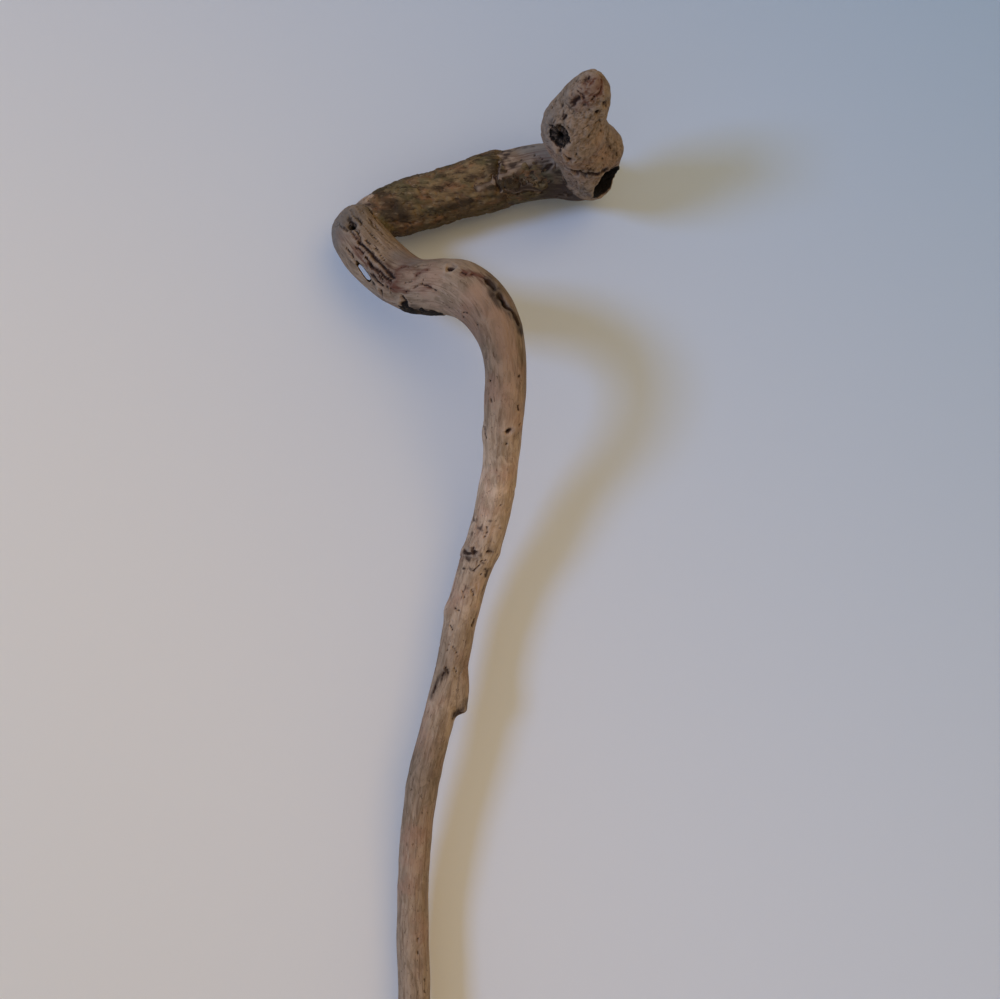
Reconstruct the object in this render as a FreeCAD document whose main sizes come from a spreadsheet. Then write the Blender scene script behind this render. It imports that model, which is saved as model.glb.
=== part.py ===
"""Driftwood walking cane with a crook handle, a knob and one rubber-shod tip. Millimetres.

The stick is one naturally grown piece: a slim shaft climbs, swings out to the front in a bend,
runs back as a strand to the elbow, and a thick limb goes out from the elbow to the knob.
Frame: origin at the centre of the rubber foot's face, +Z up the shaft, +X from the elbow
towards the knob, -Y to the front, which is where the bend and the knob stand out.
"""
import FreeCAD, Part
import Sketcher
import os

UP = FreeCAD.Vector(0, 0, 1)

# Sections of the wood, each the place of its centre and its diameter: x, y, z, diameter.
SHAFT = {
    "seat": (0, 0, 10.2, 17.4),
    "socket": (0, 0, 50, 17.4),
    "foot": (-3, -0.5, 130, 17.8),
    "shin": (-10, -1.5, 240, 18),
    "calf": (-16, -3, 370, 18.3),
    "knee": (-17, -3.5, 435, 18.1),
    "thigh": (-14, -10, 487, 18.8),
    "hip": (-5.5, -13.5, 531, 19),
    "waist": (4.5, -12.5, 568, 19),
    "ribs": (12, -12.5, 604, 19),
    "chest": (20, -17, 634, 19.4),
    "collar": (28, -23, 658, 20),
    "throat": (34, -35.5, 690, 19.4),
    "bend_start": (36.5, -54.5, 720, 21),
    "bend_side": (36.5, -63.5, 748, 23),
    "bend_turn": (28, -63, 772.5, 28.4),
    "bend_top": (9, -51.5, 788, 30.6),
    "bend_back": (-14, -32.5, 792, 30.8),
    "strand": (-36, -20.5, 809, 32),
    "elbow": (-50.5, -10.5, 828.5, 27.8),
    "elbow_cap": (-54, -8.5, 833.5, 21),
    "elbow_tip": (-56, -7.5, 837, 11),
}
LIMB = {
    "limb_root": (-53, -5.5, 830.5, 11),
    "limb_heel": (-47, -4.5, 833, 20),
    "limb_notch": (-39.5, -4, 836, 25),
    "limb_palm": (-20, -3, 843, 30),
    "limb_mid": (6, -2, 851, 29.6),
    "limb_swell": (26, -1.5, 857.5, 31.6),
    "limb_neck": (48.5, -1, 862.5, 31.4),
    "limb_shoulder": (72, -1.5, 864, 32.6),
    "limb_stump": (87.5, -4.5, 857.5, 24.5),
    "limb_end": (94.5, -6.5, 854, 10),
}
KNOB = {
    "knob_root": (85, 4, 855, 14),
    "knob_base": (86, -5.5, 857.5, 25),
    "knob_neck": (86, -16.5, 859.5, 30),
    "knob_cheek": (83, -36.5, 866, 35.7),
    "knob_brow": (78.5, -47.5, 870.5, 37.3),
    "knob_crown": (74.5, -61.5, 875.5, 37),
    "knob_bridge": (77.5, -73.5, 879, 28.5),
    "knob_beak": (80.5, -89.5, 883.5, 17),
    "knob_tip": (81, -97.5, 887, 5),
}
STUB = {
    "stub_root": (8.5, -12.5, 582, 13),
    "stub_mid": (11.5, -12.8, 566, 11.5),
    "stub_end": (13, -13, 553, 8.5),
}
# Outer faces of the bark that still clings to the wood.
LIMB_BARK = {
    "bark_notch": (-38, -4, 836.5, 28.4),
    "bark_palm": (-20, -3, 843, 32.6),
    "bark_mid": (6, -2, 851, 32),
    "bark_swell": (26, -1.5, 857.5, 34.2),
    "bark_crack": (35, -1.3, 860, 34.2),
}
NECK_BARK = {
    "neck_crack": (37, -1.2, 860.4, 33.8),
    "neck_mid": (48.5, -1, 862.5, 33.8),
    "neck_end": (70, -1.4, 864, 34.4),
}
BEND_BARK = {
    "patch_low": (-25, -26.5, 799.5, 33.6),
    "patch_mid": (-14, -32.5, 792, 33.6),
    "patch_high": (2, -46, 789.7, 33.2),
}

# The rubber ferrule's half section, up the outside and down the bore: radius, height.
FERRULE = {
    "foot_edge": (15.7, 0),
    "foot_round": (16.5, 1),
    "foot_top": (16.5, 8),
    "cone_top": (12, 15),
    "groove_low": (11, 17),
    "groove_high": (11, 18.5),
    "ring_low": (12.6, 20),
    "ring_high": (12.6, 23.5),
    "sleeve_low": (11.2, 25),
    "sleeve_high": (11.2, 43),
    "lip_low": (12.2, 44),
    "lip_high": (12.2, 47),
    "mouth": (8.5, 47),
    "bore_floor": (8.5, 9),
}

# Single sizes, and the places and inward directions of the hollows in the wood.
SIZES = {
    "tread_depth": 1.5,
    "tread_inner_a": 5.5, "tread_outer_a": 7.5,
    "tread_inner_b": 10.5, "tread_outer_b": 12.5,
    "washer_radius": 8.5, "washer_thick": 1.2, "washer_z": 9,
    "eye_x": 64.3, "eye_y": -72.3, "eye_z": 863.4,
    "eye_mouth": 8, "eye_throat": 5.4, "eye_deep": 7,
    "head_knot_tip": 3.4, "head_knot_deep": 8,
    "knot_x": -49.2, "knot_y": -29.6, "knot_z": 825,
    "knot_mouth": 3.2, "knot_throat": 2.6, "knot_deep": 4,
    "elbow_knot_tip": 1.8, "elbow_knot_deep": 8,
    "stump_x": 99, "stump_y": -13, "stump_z": 849,
    "stump_mouth": 12, "stump_throat": 5, "stump_deep": 24,
    "slit_x": -43, "slit_y": -20, "slit_z": 802,
    "slit_long": 14, "slit_through": 50, "slit_wide": 1.7, "slit_turn": 54,
    "neck_box_x": 30, "neck_box_y": -30, "neck_box_z": 824,
    "neck_box_long": 60, "neck_box_deep": 33, "neck_box_high": 38, "neck_box_turn": -18,
    "patch_box_x": -40, "patch_box_y": -70, "patch_box_z": 760,
    "patch_box_long": 50, "patch_box_deep": 60, "patch_box_high": 22,
}
EYE_INWARD = FreeCAD.Vector(0.5, 0.6, 0.62)
KNOT_INWARD = FreeCAD.Vector(0.2, 0.95, -0.2)
STUMP_INWARD = FreeCAD.Vector(-0.72, 0.3, 0.62)
SPLIT_THROUGH = FreeCAD.Vector(-0.108, 1, 0.18)

doc = FreeCAD.newDocument("DriftwoodCane")
sheet = doc.addObject("Spreadsheet::Sheet", "Sizes")


cells = {}
for stations in (SHAFT, LIMB, KNOB, STUB, LIMB_BARK, NECK_BARK, BEND_BARK):
    for name, values in stations.items():
        cells.update({f"{name}_{what}": value for what, value in zip(("x", "y", "z", "dia"), values)})
for name, (radius, height) in FERRULE.items():
    cells.update({f"{name}_radius": radius, f"{name}_height": height})
cells.update(SIZES)
for row, (alias, value) in enumerate(cells.items(), start=1):
    sheet.set(f"A{row}", alias)
    sheet.set(f"B{row}", str(value))
    sheet.setAlias(f"B{row}", alias)
doc.recompute()


def size(alias):
    """The plain number in the cell of that name."""
    return float(getattr(sheet, alias))


def bind(thing, **cells):
    """Bind properties of an object to cells of the sheet. A double underscore stands for a dot."""
    for path, cell in cells.items():
        thing.setExpression(path.replace("__", "."), f"{sheet.Name}.{cell}")


def plane(body, role):
    """The body's own origin plane of that role."""
    return next(f for f in body.Origin.OriginFeatures if f.Role == role)


def place_of(name):
    """The centre of a section."""
    return FreeCAD.Vector(size(f"{name}_x"), size(f"{name}_y"), size(f"{name}_z"))


def section(body, name, along):
    """A round section of the wood, square to the way the grain runs there."""
    sketch = body.newObject("Sketcher::SketchObject", f"{name}_section")
    sketch.AttachmentSupport = (plane(body, "XY_Plane"), [""])
    sketch.MapMode = "FlatFace"
    turn = FreeCAD.Rotation(UP, along)
    sketch.AttachmentOffset = FreeCAD.Placement(place_of(name), turn)
    circle = sketch.addGeometry(Part.Circle(FreeCAD.Vector(), UP, size(f"{name}_dia") / 2))
    sketch.addConstraint(Sketcher.Constraint("Coincident", circle, 3, -1, 1))
    width = sketch.addConstraint(Sketcher.Constraint("Diameter", circle, size(f"{name}_dia")))
    sketch.renameConstraint(width, "width")
    for axis in "xyz":
        bind(sketch, **{f".AttachmentOffset__Base__{axis}": f"{name}_{axis}"})
    bind(sketch, Constraints__width=f"{name}_dia")
    return sketch


def grow(body, label, stations):
    """Add the smooth limb through a row of sections, each facing the mean of its two runs."""
    names = list(stations)
    points = [place_of(name) for name in names]
    runs = [(b - a).normalize() for a, b in zip(points, points[1:])]
    along = [runs[0]] + [a + b for a, b in zip(runs, runs[1:])] + [runs[-1]]
    rings = [section(body, name, way) for name, way in zip(names, along)]
    limb = body.newObject("PartDesign::AdditiveLoft", label)
    limb.Profile = rings[0]
    limb.Sections = rings[1:]
    return limb


def boolean(kind, label, base, tool):
    """Cut or intersect two objects of the document."""
    result = doc.addObject(f"Part::{kind}", label)
    result.Base = base
    result.Tool = tool
    return result


def cone(label, at, inward, mouth, throat, deep, start=0):
    """A tapered hollow or plug that runs inward from a place on the wood's surface."""
    thing = doc.addObject("Part::Cone", label)
    bind(thing, Radius1=mouth, Radius2=throat, Height=deep)
    way = FreeCAD.Vector(inward).normalize()
    thing.Placement = FreeCAD.Placement(place_of(at) + way * start, FreeCAD.Rotation(UP, way))
    return thing


def box(label, name, long, deep, high, turn=0):
    """A box from its corner, turned about Y at that corner."""
    thing = doc.addObject("Part::Box", label)
    bind(thing, Length=long, Width=deep, Height=high)
    around = FreeCAD.Rotation(FreeCAD.Vector(0, 1, 0), turn)
    thing.Placement = FreeCAD.Placement(place_of(name), around)
    return thing


# The stick, before its hollows: shaft and bend, limb, knob and the snag of a lost twig.
stick_body = doc.addObject("PartDesign::Body", "stick_body")
grow(stick_body, "shaft_and_bend", SHAFT)
grow(stick_body, "handle_limb", LIMB)
grow(stick_body, "knob", KNOB)
grow(stick_body, "twig_snag", STUB)
doc.recompute()

# Dead knots sit in tapered hollows, a little below the wood's surface.
eye_hollow = cone("eye_hollow", "eye", EYE_INWARD, "eye_mouth", "eye_throat", "eye_deep")
head_knot = cone("head_knot", "eye", EYE_INWARD, "eye_throat", "head_knot_tip", "head_knot_deep",
                 start=size("eye_deep"))
knot_hollow = cone("knot_hollow", "knot", KNOT_INWARD, "knot_mouth", "knot_throat", "knot_deep")
elbow_knot = cone("elbow_knot", "knot", KNOT_INWARD, "knot_throat", "elbow_knot_tip",
                  "elbow_knot_deep", start=size("knot_deep"))
stump_hollow = cone("stump_hollow", "stump", STUMP_INWARD, "stump_mouth", "stump_throat",
                    "stump_deep")

# A drying split goes right through the strand from front to back, beside its outer edge.
slit = doc.addObject("Part::Box", "slit")
bind(slit, Length="slit_long", Width="slit_through", Height="slit_wide")
along_grain = FreeCAD.Rotation(FreeCAD.Vector(0, 1, 0), size("slit_turn"))
turn = FreeCAD.Rotation(FreeCAD.Vector(0, 1, 0), SPLIT_THROUGH) * along_grain
middle = FreeCAD.Vector(size("slit_long"), size("slit_through"), size("slit_wide")) / 2
slit.Placement = FreeCAD.Placement(place_of("slit") - turn.multVec(middle), turn)

hollows = doc.addObject("Part::MultiFuse", "hollows")
hollows.Shapes = [eye_hollow, head_knot, knot_hollow, elbow_knot, stump_hollow, slit]
stick = boolean("Cut", "driftwood_stick", stick_body, hollows)

# Bark is laid over the wood and cut to it, so the two share one face.
limb_bark_body = doc.addObject("PartDesign::Body", "limb_bark_body")
grow(limb_bark_body, "limb_bark_loft", LIMB_BARK)
limb_bark = boolean("Cut", "limb_bark", limb_bark_body, stick_body)

neck_bark_body = doc.addObject("PartDesign::Body", "neck_bark_body")
grow(neck_bark_body, "neck_bark_loft", NECK_BARK)
neck_box = box("neck_box", "neck_box", "neck_box_long", "neck_box_deep", "neck_box_high",
               size("neck_box_turn"))
neck_side = boolean("Common", "neck_side", neck_bark_body, neck_box)
neck_bark = boolean("Cut", "neck_bark", neck_side, stick_body)

bend_bark_body = doc.addObject("PartDesign::Body", "bend_bark_body")
grow(bend_bark_body, "bend_bark_loft", BEND_BARK)
patch_box = box("patch_box", "patch_box", "patch_box_long", "patch_box_deep", "patch_box_high")
bend_side = boolean("Common", "bend_side", bend_bark_body, patch_box)
bend_bark = boolean("Cut", "bend_bark", bend_side, stick_body)

# The moulded ferrule: one turned section, two tread rings cut in its face, bore cut to the stick.
ferrule_body = doc.addObject("PartDesign::Body", "ferrule_body")
profile = ferrule_body.newObject("Sketcher::SketchObject", "ferrule_profile")
profile.AttachmentSupport = (plane(ferrule_body, "XZ_Plane"), [""])
profile.MapMode = "FlatFace"
corners = [(0, 0)] + [(size(f"{n}_radius"), size(f"{n}_height")) for n in FERRULE]
corners.append((0, size("bore_floor_height")))
points = [FreeCAD.Vector(x, y, 0) for x, y in corners]
count = len(points)
for start, end in zip(points, points[1:] + points[:1]):
    profile.addGeometry(Part.LineSegment(start, end))
for line in range(count):
    profile.addConstraint(Sketcher.Constraint("Coincident", line, 2, (line + 1) % count, 1))
profile.addConstraint(Sketcher.Constraint("Coincident", 0, 1, -1, 1))
profile.addConstraint(Sketcher.Constraint("PointOnObject", count - 1, 1, -2))
profile.addConstraint(Sketcher.Constraint("Horizontal", count - 2))
profile.addConstraint(Sketcher.Constraint("Horizontal", 0))
for line, name in enumerate(FERRULE, start=1):
    pairs = [("DistanceX", "radius")] + ([("DistanceY", "height")] if line > 1 else [])
    for kind, what in pairs:
        number = profile.addConstraint(
            Sketcher.Constraint(kind, -1, 1, line, 1, size(f"{name}_{what}")))
        profile.renameConstraint(number, f"{name}_{what}")
        profile.setExpression(f"Constraints.{name}_{what}", f"{sheet.Name}.{name}_{what}")
turned = ferrule_body.newObject("PartDesign::Revolution", "ferrule_turned")
turned.Profile = profile
turned.ReferenceAxis = (profile, ["V_Axis"])
turned.Angle = 360
doc.recompute()
solid_volume = ferrule_body.Shape.Volume

tread = ferrule_body.newObject("Sketcher::SketchObject", "tread_rings")
tread.AttachmentSupport = (plane(ferrule_body, "XY_Plane"), [""])
tread.MapMode = "FlatFace"
for name in ("tread_inner_a", "tread_outer_a", "tread_inner_b", "tread_outer_b"):
    ring = tread.addGeometry(Part.Circle(FreeCAD.Vector(), UP, size(name)))
    tread.addConstraint(Sketcher.Constraint("Coincident", ring, 3, -1, 1))
    number = tread.addConstraint(Sketcher.Constraint("Radius", ring, size(name)))
    tread.renameConstraint(number, name)
    tread.setExpression(f"Constraints.{name}", f"{sheet.Name}.{name}")
pocket = ferrule_body.newObject("PartDesign::Pocket", "tread_pocket")
pocket.Profile = tread
pocket.Reversed = True
bind(pocket, Length="tread_depth")
doc.recompute()
if ferrule_body.Shape.Volume >= solid_volume:
    raise RuntimeError("the tread rings cut nothing")
ferrule = boolean("Cut", "rubber_ferrule", ferrule_body, stick_body)

washer = doc.addObject("Part::Cylinder", "ferrule_washer")
bind(washer, Radius="washer_radius", Height="washer_thick")
washer.Placement.Base = UP * size("washer_z")
doc.recompute()

# Every object has to be sound before anything is written.
nodes = [stick, limb_bark, neck_bark, bend_bark, head_knot, elbow_knot, ferrule, washer]
for thing in doc.Objects:
    if {"Invalid", "Error"} & set(thing.State):
        raise RuntimeError(f"{thing.Label} is in state {thing.State}")
for thing in nodes:
    if thing.Shape.isNull() or not thing.Shape.isValid():
        raise RuntimeError(f"{thing.Label} has no sound shape")

os.makedirs("parts", exist_ok=True)
for thing in nodes:
    thing.Shape.exportStep(os.path.join("parts", f"{thing.Label}.step"))
    print(f"{thing.Label}: {len(thing.Shape.Solids)} solid, {thing.Shape.Volume:.0f} mm3")
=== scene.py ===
import bmesh
import bpy
import numpy as np
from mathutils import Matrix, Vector


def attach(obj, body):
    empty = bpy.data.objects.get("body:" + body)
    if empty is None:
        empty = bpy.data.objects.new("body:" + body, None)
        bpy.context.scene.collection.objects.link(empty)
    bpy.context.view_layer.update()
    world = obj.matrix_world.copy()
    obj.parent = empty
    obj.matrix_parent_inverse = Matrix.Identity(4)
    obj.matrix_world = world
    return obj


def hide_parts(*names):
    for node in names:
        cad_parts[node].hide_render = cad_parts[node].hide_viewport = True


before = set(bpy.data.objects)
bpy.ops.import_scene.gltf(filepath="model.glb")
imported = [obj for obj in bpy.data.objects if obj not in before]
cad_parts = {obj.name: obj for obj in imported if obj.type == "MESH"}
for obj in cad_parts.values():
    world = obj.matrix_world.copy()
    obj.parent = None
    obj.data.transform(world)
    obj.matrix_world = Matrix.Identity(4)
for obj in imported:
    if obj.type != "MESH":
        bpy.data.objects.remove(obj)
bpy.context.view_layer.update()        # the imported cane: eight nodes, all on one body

mm = 0.001
print("frame loaded")


# One random number from -1 to 1 for each whole-number corner of space: the corner's three
# numbers are multiplied by large primes, mixed bit by bit and scaled.
def cornerNumber(corner, seed):
    mixed = (corner[..., 0] * 73856093) ^ (corner[..., 1] * 19349663) ^ (corner[..., 2] * 83492791)
    mixed = (mixed ^ (seed * 2654435761)) & 0xFFFFFFFF
    mixed = ((mixed ^ (mixed >> 13)) * 1274126177) & 0xFFFFFFFF
    mixed = ((mixed ^ (mixed >> 16)) * 2246822519) & 0xFFFFFFFF
    return (mixed ^ (mixed >> 15)) / 0x7FFFFFFF - 1


# Soft noise: the eight corner numbers round a point, blended with a smooth step along each axis.
def softNoise(points, size, seed):
    spot = points / size
    cell = np.floor(spot).astype(np.int64)
    part = spot - cell
    part = part * part * (3 - 2 * part)
    total = np.zeros(len(points))
    for corner in np.ndindex(2, 2, 2):
        share = np.where(np.array(corner) == 1, part, 1 - part).prod(axis=1)
        total += share * cornerNumber(cell + np.array(corner), seed)
    return total


# Several octaves of soft noise, each half the size and a little over half the strength.
def layeredNoise(points, size, seed, layers=4):
    total = np.zeros(len(points))
    for layer in range(layers):
        total += softNoise(points, size / 2 ** layer, seed + 17 * layer) * 0.55 ** layer
    return total


# A smooth step from 0 at low to 1 at high.
def smoothStep(value, low, high):
    part = np.clip((value - low) / (high - low), 0, 1)
    return part * part * (3 - 2 * part)


# A bell curve: 1 at nothing, about a third at one width away.
def bell(distance, width):
    return np.exp(-(distance / width) ** 2)


# The natural cubic through values at knots: each span is the straight line plus the cubic terms
# of its two end curvatures, which a small linear system makes smooth at every knot.
def smoothThrough(knots, values, wanted):
    count = len(knots)
    gap = np.diff(knots)
    slope = np.diff(values, axis=0) / gap[:, None]
    system = np.eye(count)
    inner = np.arange(1, count - 1)
    system[inner, inner - 1] = gap[:-1]
    system[inner, inner] = 2 * (gap[:-1] + gap[1:])
    system[inner, inner + 1] = gap[1:]
    right = np.zeros_like(values)
    right[1:-1] = 6 * np.diff(slope, axis=0)
    curve = np.linalg.solve(system, right)
    span = np.clip(np.searchsorted(knots, wanted) - 1, 0, count - 2)
    before = ((knots[span + 1] - wanted) / gap[span])[:, None]
    after = 1 - before
    cubic = (before ** 3 - before) * curve[span] + (after ** 3 - after) * curve[span + 1]
    return before * values[span] + after * values[span + 1] + cubic * gap[span, None] ** 2 / 6


# Unit vectors along the last axis.
def unit(vectors):
    return vectors / np.maximum(np.linalg.norm(vectors, axis=-1, keepdims=True), 1e-12)


# A mesh object from points and a list of face arrays, quads or triangles, placed by its points.
def meshObject(name, points, faceSets, smooth=True):
    mesh = bpy.data.meshes.new(name)
    faces = [face for faceSet in faceSets for face in faceSet.tolist()]
    mesh.from_pydata(points.tolist(), [], faces)
    mesh.polygons.foreach_set("use_smooth", np.full(len(mesh.polygons), smooth))
    mesh.update()
    thing = bpy.data.objects.new(name, mesh)
    bpy.context.scene.collection.objects.link(thing)
    return thing


# The faces of a closed skin of rings: quads from each ring to the next, and triangles from the first
# and the last ring to the two end points, which are numbered after all the ring points.
def ringFaces(rows, columns):
    number = np.arange(rows * columns).reshape(rows, columns)
    beside = np.roll(number, -1, axis=1)
    quads = np.stack([number[:-1], beside[:-1], beside[1:], number[1:]], axis=-1).reshape(-1, 4)
    first, last = rows * columns, rows * columns + 1
    low = np.stack([beside[0], number[0], np.full(columns, first)], axis=-1)
    high = np.stack([number[-1], beside[-1], np.full(columns, last)], axis=-1)
    return quads, low, high


# The points of a mesh as one array.
def pointsOf(mesh):
    flat = np.empty(len(mesh.vertices) * 3, np.float32)
    mesh.vertices.foreach_get("co", flat)
    return flat.reshape(-1, 3).astype(float)


# The outward normal at each point of a mesh.
def normalsOf(mesh):
    flat = np.empty(len(mesh.vertices) * 3, np.float32)
    mesh.vertex_normals.foreach_get("vector", flat)
    return flat.reshape(-1, 3).astype(float)


# The two ends of each edge.
def edgesOf(mesh):
    flat = np.empty(len(mesh.edges) * 2, np.int32)
    mesh.edges.foreach_get("vertices", flat)
    return flat.reshape(-1, 2)


# Puts moved points back into a mesh.
def movePoints(mesh, points):
    mesh.vertices.foreach_set("co", points.astype(np.float32).ravel())
    mesh.update()


# One number for each point, for a material to read.
def paint(mesh, name, values):
    layer = mesh.attributes.new(name, "FLOAT", "POINT")
    layer.data.foreach_set("value", values.astype(np.float32))


# One vector for each point, for a material to read.
def paintVector(mesh, name, values):
    layer = mesh.attributes.new(name, "FLOAT_VECTOR", "POINT")
    layer.data.foreach_set("vector", values.astype(np.float32).ravel())


# Moves each point towards the mean of its neighbours by its own weight, some rounds over.
def relax(points, edges, weight, rounds):
    count = np.bincount(edges.ravel(), minlength=len(points))[:, None]
    for _ in range(rounds):
        total = np.zeros_like(points)
        for axis in range(3):
            total[:, axis] = (np.bincount(edges[:, 0], points[edges[:, 1], axis], len(points))
                              + np.bincount(edges[:, 1], points[edges[:, 0], axis], len(points)))
        points = points + (total / np.maximum(count, 1) - points) * weight[:, None]
    return points


# Turns every face of a closed mesh outwards.
def facesOutward(mesh):
    whole = bmesh.new()
    whole.from_mesh(mesh)
    bmesh.ops.recalc_face_normals(whole, faces=whole.faces)
    whole.to_mesh(mesh)
    whole.free()


# The mesh that an object's modifiers make, as a new plain object that takes its place.
def baked(thing):
    shown = thing.evaluated_get(bpy.context.evaluated_depsgraph_get())
    mesh = bpy.data.meshes.new_from_object(shown)
    result = bpy.data.objects.new(thing.name + "Baked", mesh)
    bpy.context.scene.collection.objects.link(result)
    bpy.data.objects.remove(thing)
    return result


wood = {
    # x, y, z and diameter in millimetres, from the ferrule's seat up to the elbow
    "shaft": [(0, 0, 10.2, 17.4), (0, 0, 50, 17.4), (-3, -0.5, 130, 17.8), (-10, -1.5, 240, 18),
              (-16, -3, 370, 18.3), (-17, -3.5, 435, 18.1), (-14, -10, 487, 18.8),
              (-5.5, -13.5, 531, 19), (4.5, -12.5, 568, 19), (12, -12.5, 604, 19),
              (20, -17, 634, 19.4), (28, -23, 658, 20), (34, -35.5, 690, 19.4),
              (36.5, -54.5, 720, 21), (36.5, -63.5, 748, 23), (28, -63, 772.5, 28.4),
              (9, -51.5, 788, 30.6), (-14, -32.5, 792, 30.8), (-36, -20.5, 809, 32),
              (-50.5, -10.5, 828.5, 27.8), (-54, -8.5, 833.5, 21), (-56, -7.5, 837, 11)],
    "limb": [(-53, -5.5, 830.5, 11), (-47, -4.5, 833, 20), (-39.5, -4, 836, 25), (-20, -3, 843, 30),
             (6, -2, 851, 29.6), (26, -1.5, 857.5, 31.6), (48.5, -1, 862.5, 32.4),
             (72, -1.5, 864, 32.6), (87.5, -4.5, 857.5, 24.5), (94.5, -6.5, 854, 10)],
    "knob": [(85, 4, 855, 14), (86, -5.5, 857.5, 25), (86, -16.5, 859.5, 30), (83, -36.5, 866, 35.7),
             (76.5, -49.5, 870, 35), (74.3, -61.5, 872.8, 35.6), (78.3, -75, 880, 27),
             (81.3, -89.5, 885.3, 18.5), (81.5, -97.3, 887.8, 7)],
    "cheek": [(84, -22, 862, 16), (87, -30, 866, 27), (89, -37, 867, 29), (90, -44, 868, 24),
              (90.5, -49, 868.5, 12)],
    "collar": [(81, -19.5, 865, 18), (86, -21.5, 860, 24), (91, -23.6, 855, 24),
               (96, -25.6, 850, 22.5), (98, -26.4, 848, 20)],
    "snag": [(7.5, -12.5, 588, 15), (8.8, -12.8, 570, 15), (10.2, -13, 556, 12),
             (12.6, -13.4, 548.5, 6)],
    "voxel": 1.09,           # grain of the remesh, mm
    "ringStep": 2.0,         # mm between the rings of each limb before the remesh
    "ringPoints": 40,
    "outOfRound": 0.045,     # how far the section strays from a circle, as a share of its radius
    "lobeLength": 55,        # mm along the limb before its section has another shape
    "creaseWidth": 4.0,      # mm round a fork where the limbs melt into each other
    "limbGap": 0.9,          # metres from each limb's grain to the next one's, so that none is repeated
    "still": 20, "free": 50,           # mm of height below which nothing moves and above which all does
    "lumps": 0.55, "lumpSize": 26,     # height and size in mm of the broad waves of the surface
    "ripples": 0.16, "rippleSize": 3.4,          # of the fine waves
    "flutes": 0.25, "fluteSize": 6,              # of the long low ridges
    "burls": 0.5, "burlSize": 8,                 # of the knob's own lumps
    "furrows": 1.3, "furrowSize": 5.5,           # of the furrows along the grain
    "pits": 0.7, "pitSize": 3.0,                 # of the pits
    "crooked": 1.1,          # mm by which a crack strays from the line through its places
    "knottyAt": 640, "knottyLength": 60,         # mm along the shaft of its knotty, pitted stretch
}
# a direction that no part of each limb ever runs along, which fixes where its rings start
ringStart = {"shaft": (0.7, 0.7, 0), "limb": (0, 1, 0), "knob": (1, 0, 0.2), "cheek": (1, 0, 0.2),
             "collar": (0, 1, 0.2), "snag": (0, 1, 0)}


# A limb's centre line: a smooth cubic through its stations, with a frame square to it at each step.
def limbPath(stations, reference, step):
    table = np.array(stations, float) * mm
    knots = np.r_[0, np.cumsum(np.linalg.norm(np.diff(table[:, :3], axis=0), axis=1))]
    wanted = np.linspace(0, knots[-1], int(knots[-1] / (step * mm)) + 2)
    spots = smoothThrough(knots, table, wanted)
    forward = unit(np.gradient(spots[:, :3], axis=0))
    across = unit(np.cross(forward, np.array(reference, float)))
    return {"centre": spots[:, :3], "radius": np.maximum(spots[:, 3] / 2, 0.5 * mm), "along": wanted,
            "forward": forward, "across": across, "upright": np.cross(forward, across)}


# A closed limb: a ring carried along the path, its radius times one plus slow waves of two and
# three lobes that turn as they go, and a single point closing each end.
def limbSurface(path, seed):
    turn = np.linspace(0, 2 * np.pi, wood["ringPoints"], endpoint=False)[None, :]
    spot = np.c_[path["along"], np.zeros((len(path["along"]), 2))]
    wander = [softNoise(spot, wood["lobeLength"] * mm, seed + k)[:, None] for k in range(4)]
    lobes = (wander[0] * np.cos(2 * turn + 3 * wander[1])
             + 0.7 * wander[2] * np.cos(3 * turn + 4 * wander[3]))
    radius = path["radius"][:, None] * (1 + wood["outOfRound"] * lobes)
    ring = (np.cos(turn)[..., None] * path["across"][:, None]
            + np.sin(turn)[..., None] * path["upright"][:, None])
    grid = (path["centre"][:, None] + radius[..., None] * ring).reshape(-1, 3)
    quads, low, high = ringFaces(len(path["along"]), wood["ringPoints"])
    points = np.vstack([grid, path["centre"][:1], path["centre"][-1:]])
    return points, quads, np.vstack([low, high])


limbs = ["shaft", "limb", "knob", "cheek", "collar", "snag"]
paths = {name: limbPath(wood[name], ringStart[name], wood["ringStep"]) for name in limbs}
allPoints, allQuads, allCaps, offset = [], [], [], 0
for seed, name in enumerate(limbs):
    points, quads, caps = limbSurface(paths[name], 40 + 10 * seed)
    allPoints.append(points)
    allQuads.append(quads + offset)
    allCaps.append(caps + offset)
    offset += len(points)
rough = meshObject("roughWood", np.vstack(allPoints), [np.vstack(allQuads), np.vstack(allCaps)])
print("limbs grown:", offset, "points")

hollow = {
    # place on the surface, inward direction, mouth and throat radius, depth, mm
    "eye": ((65, -71.5, 864), (0.5, 0.65, 0.57), 6.4, 4.6, 11),
    "elbowKnot": ((-49.4, -27, 826), (0.2, 0.95, -0.2), 3.4, 2.4, 7),
    "stump": ((94.8, -24.6, 851.4), (-0.67, 0.27, 0.69), 10.9, 4.5, 24),
    "slit": {"centre": (-43.5, -20, 801.8), "through": (-0.108, 1, 0.18), "along": (0.59, 0, -0.81),
             "length": 38, "width": 2.5, "depth": 50},
}


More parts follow.
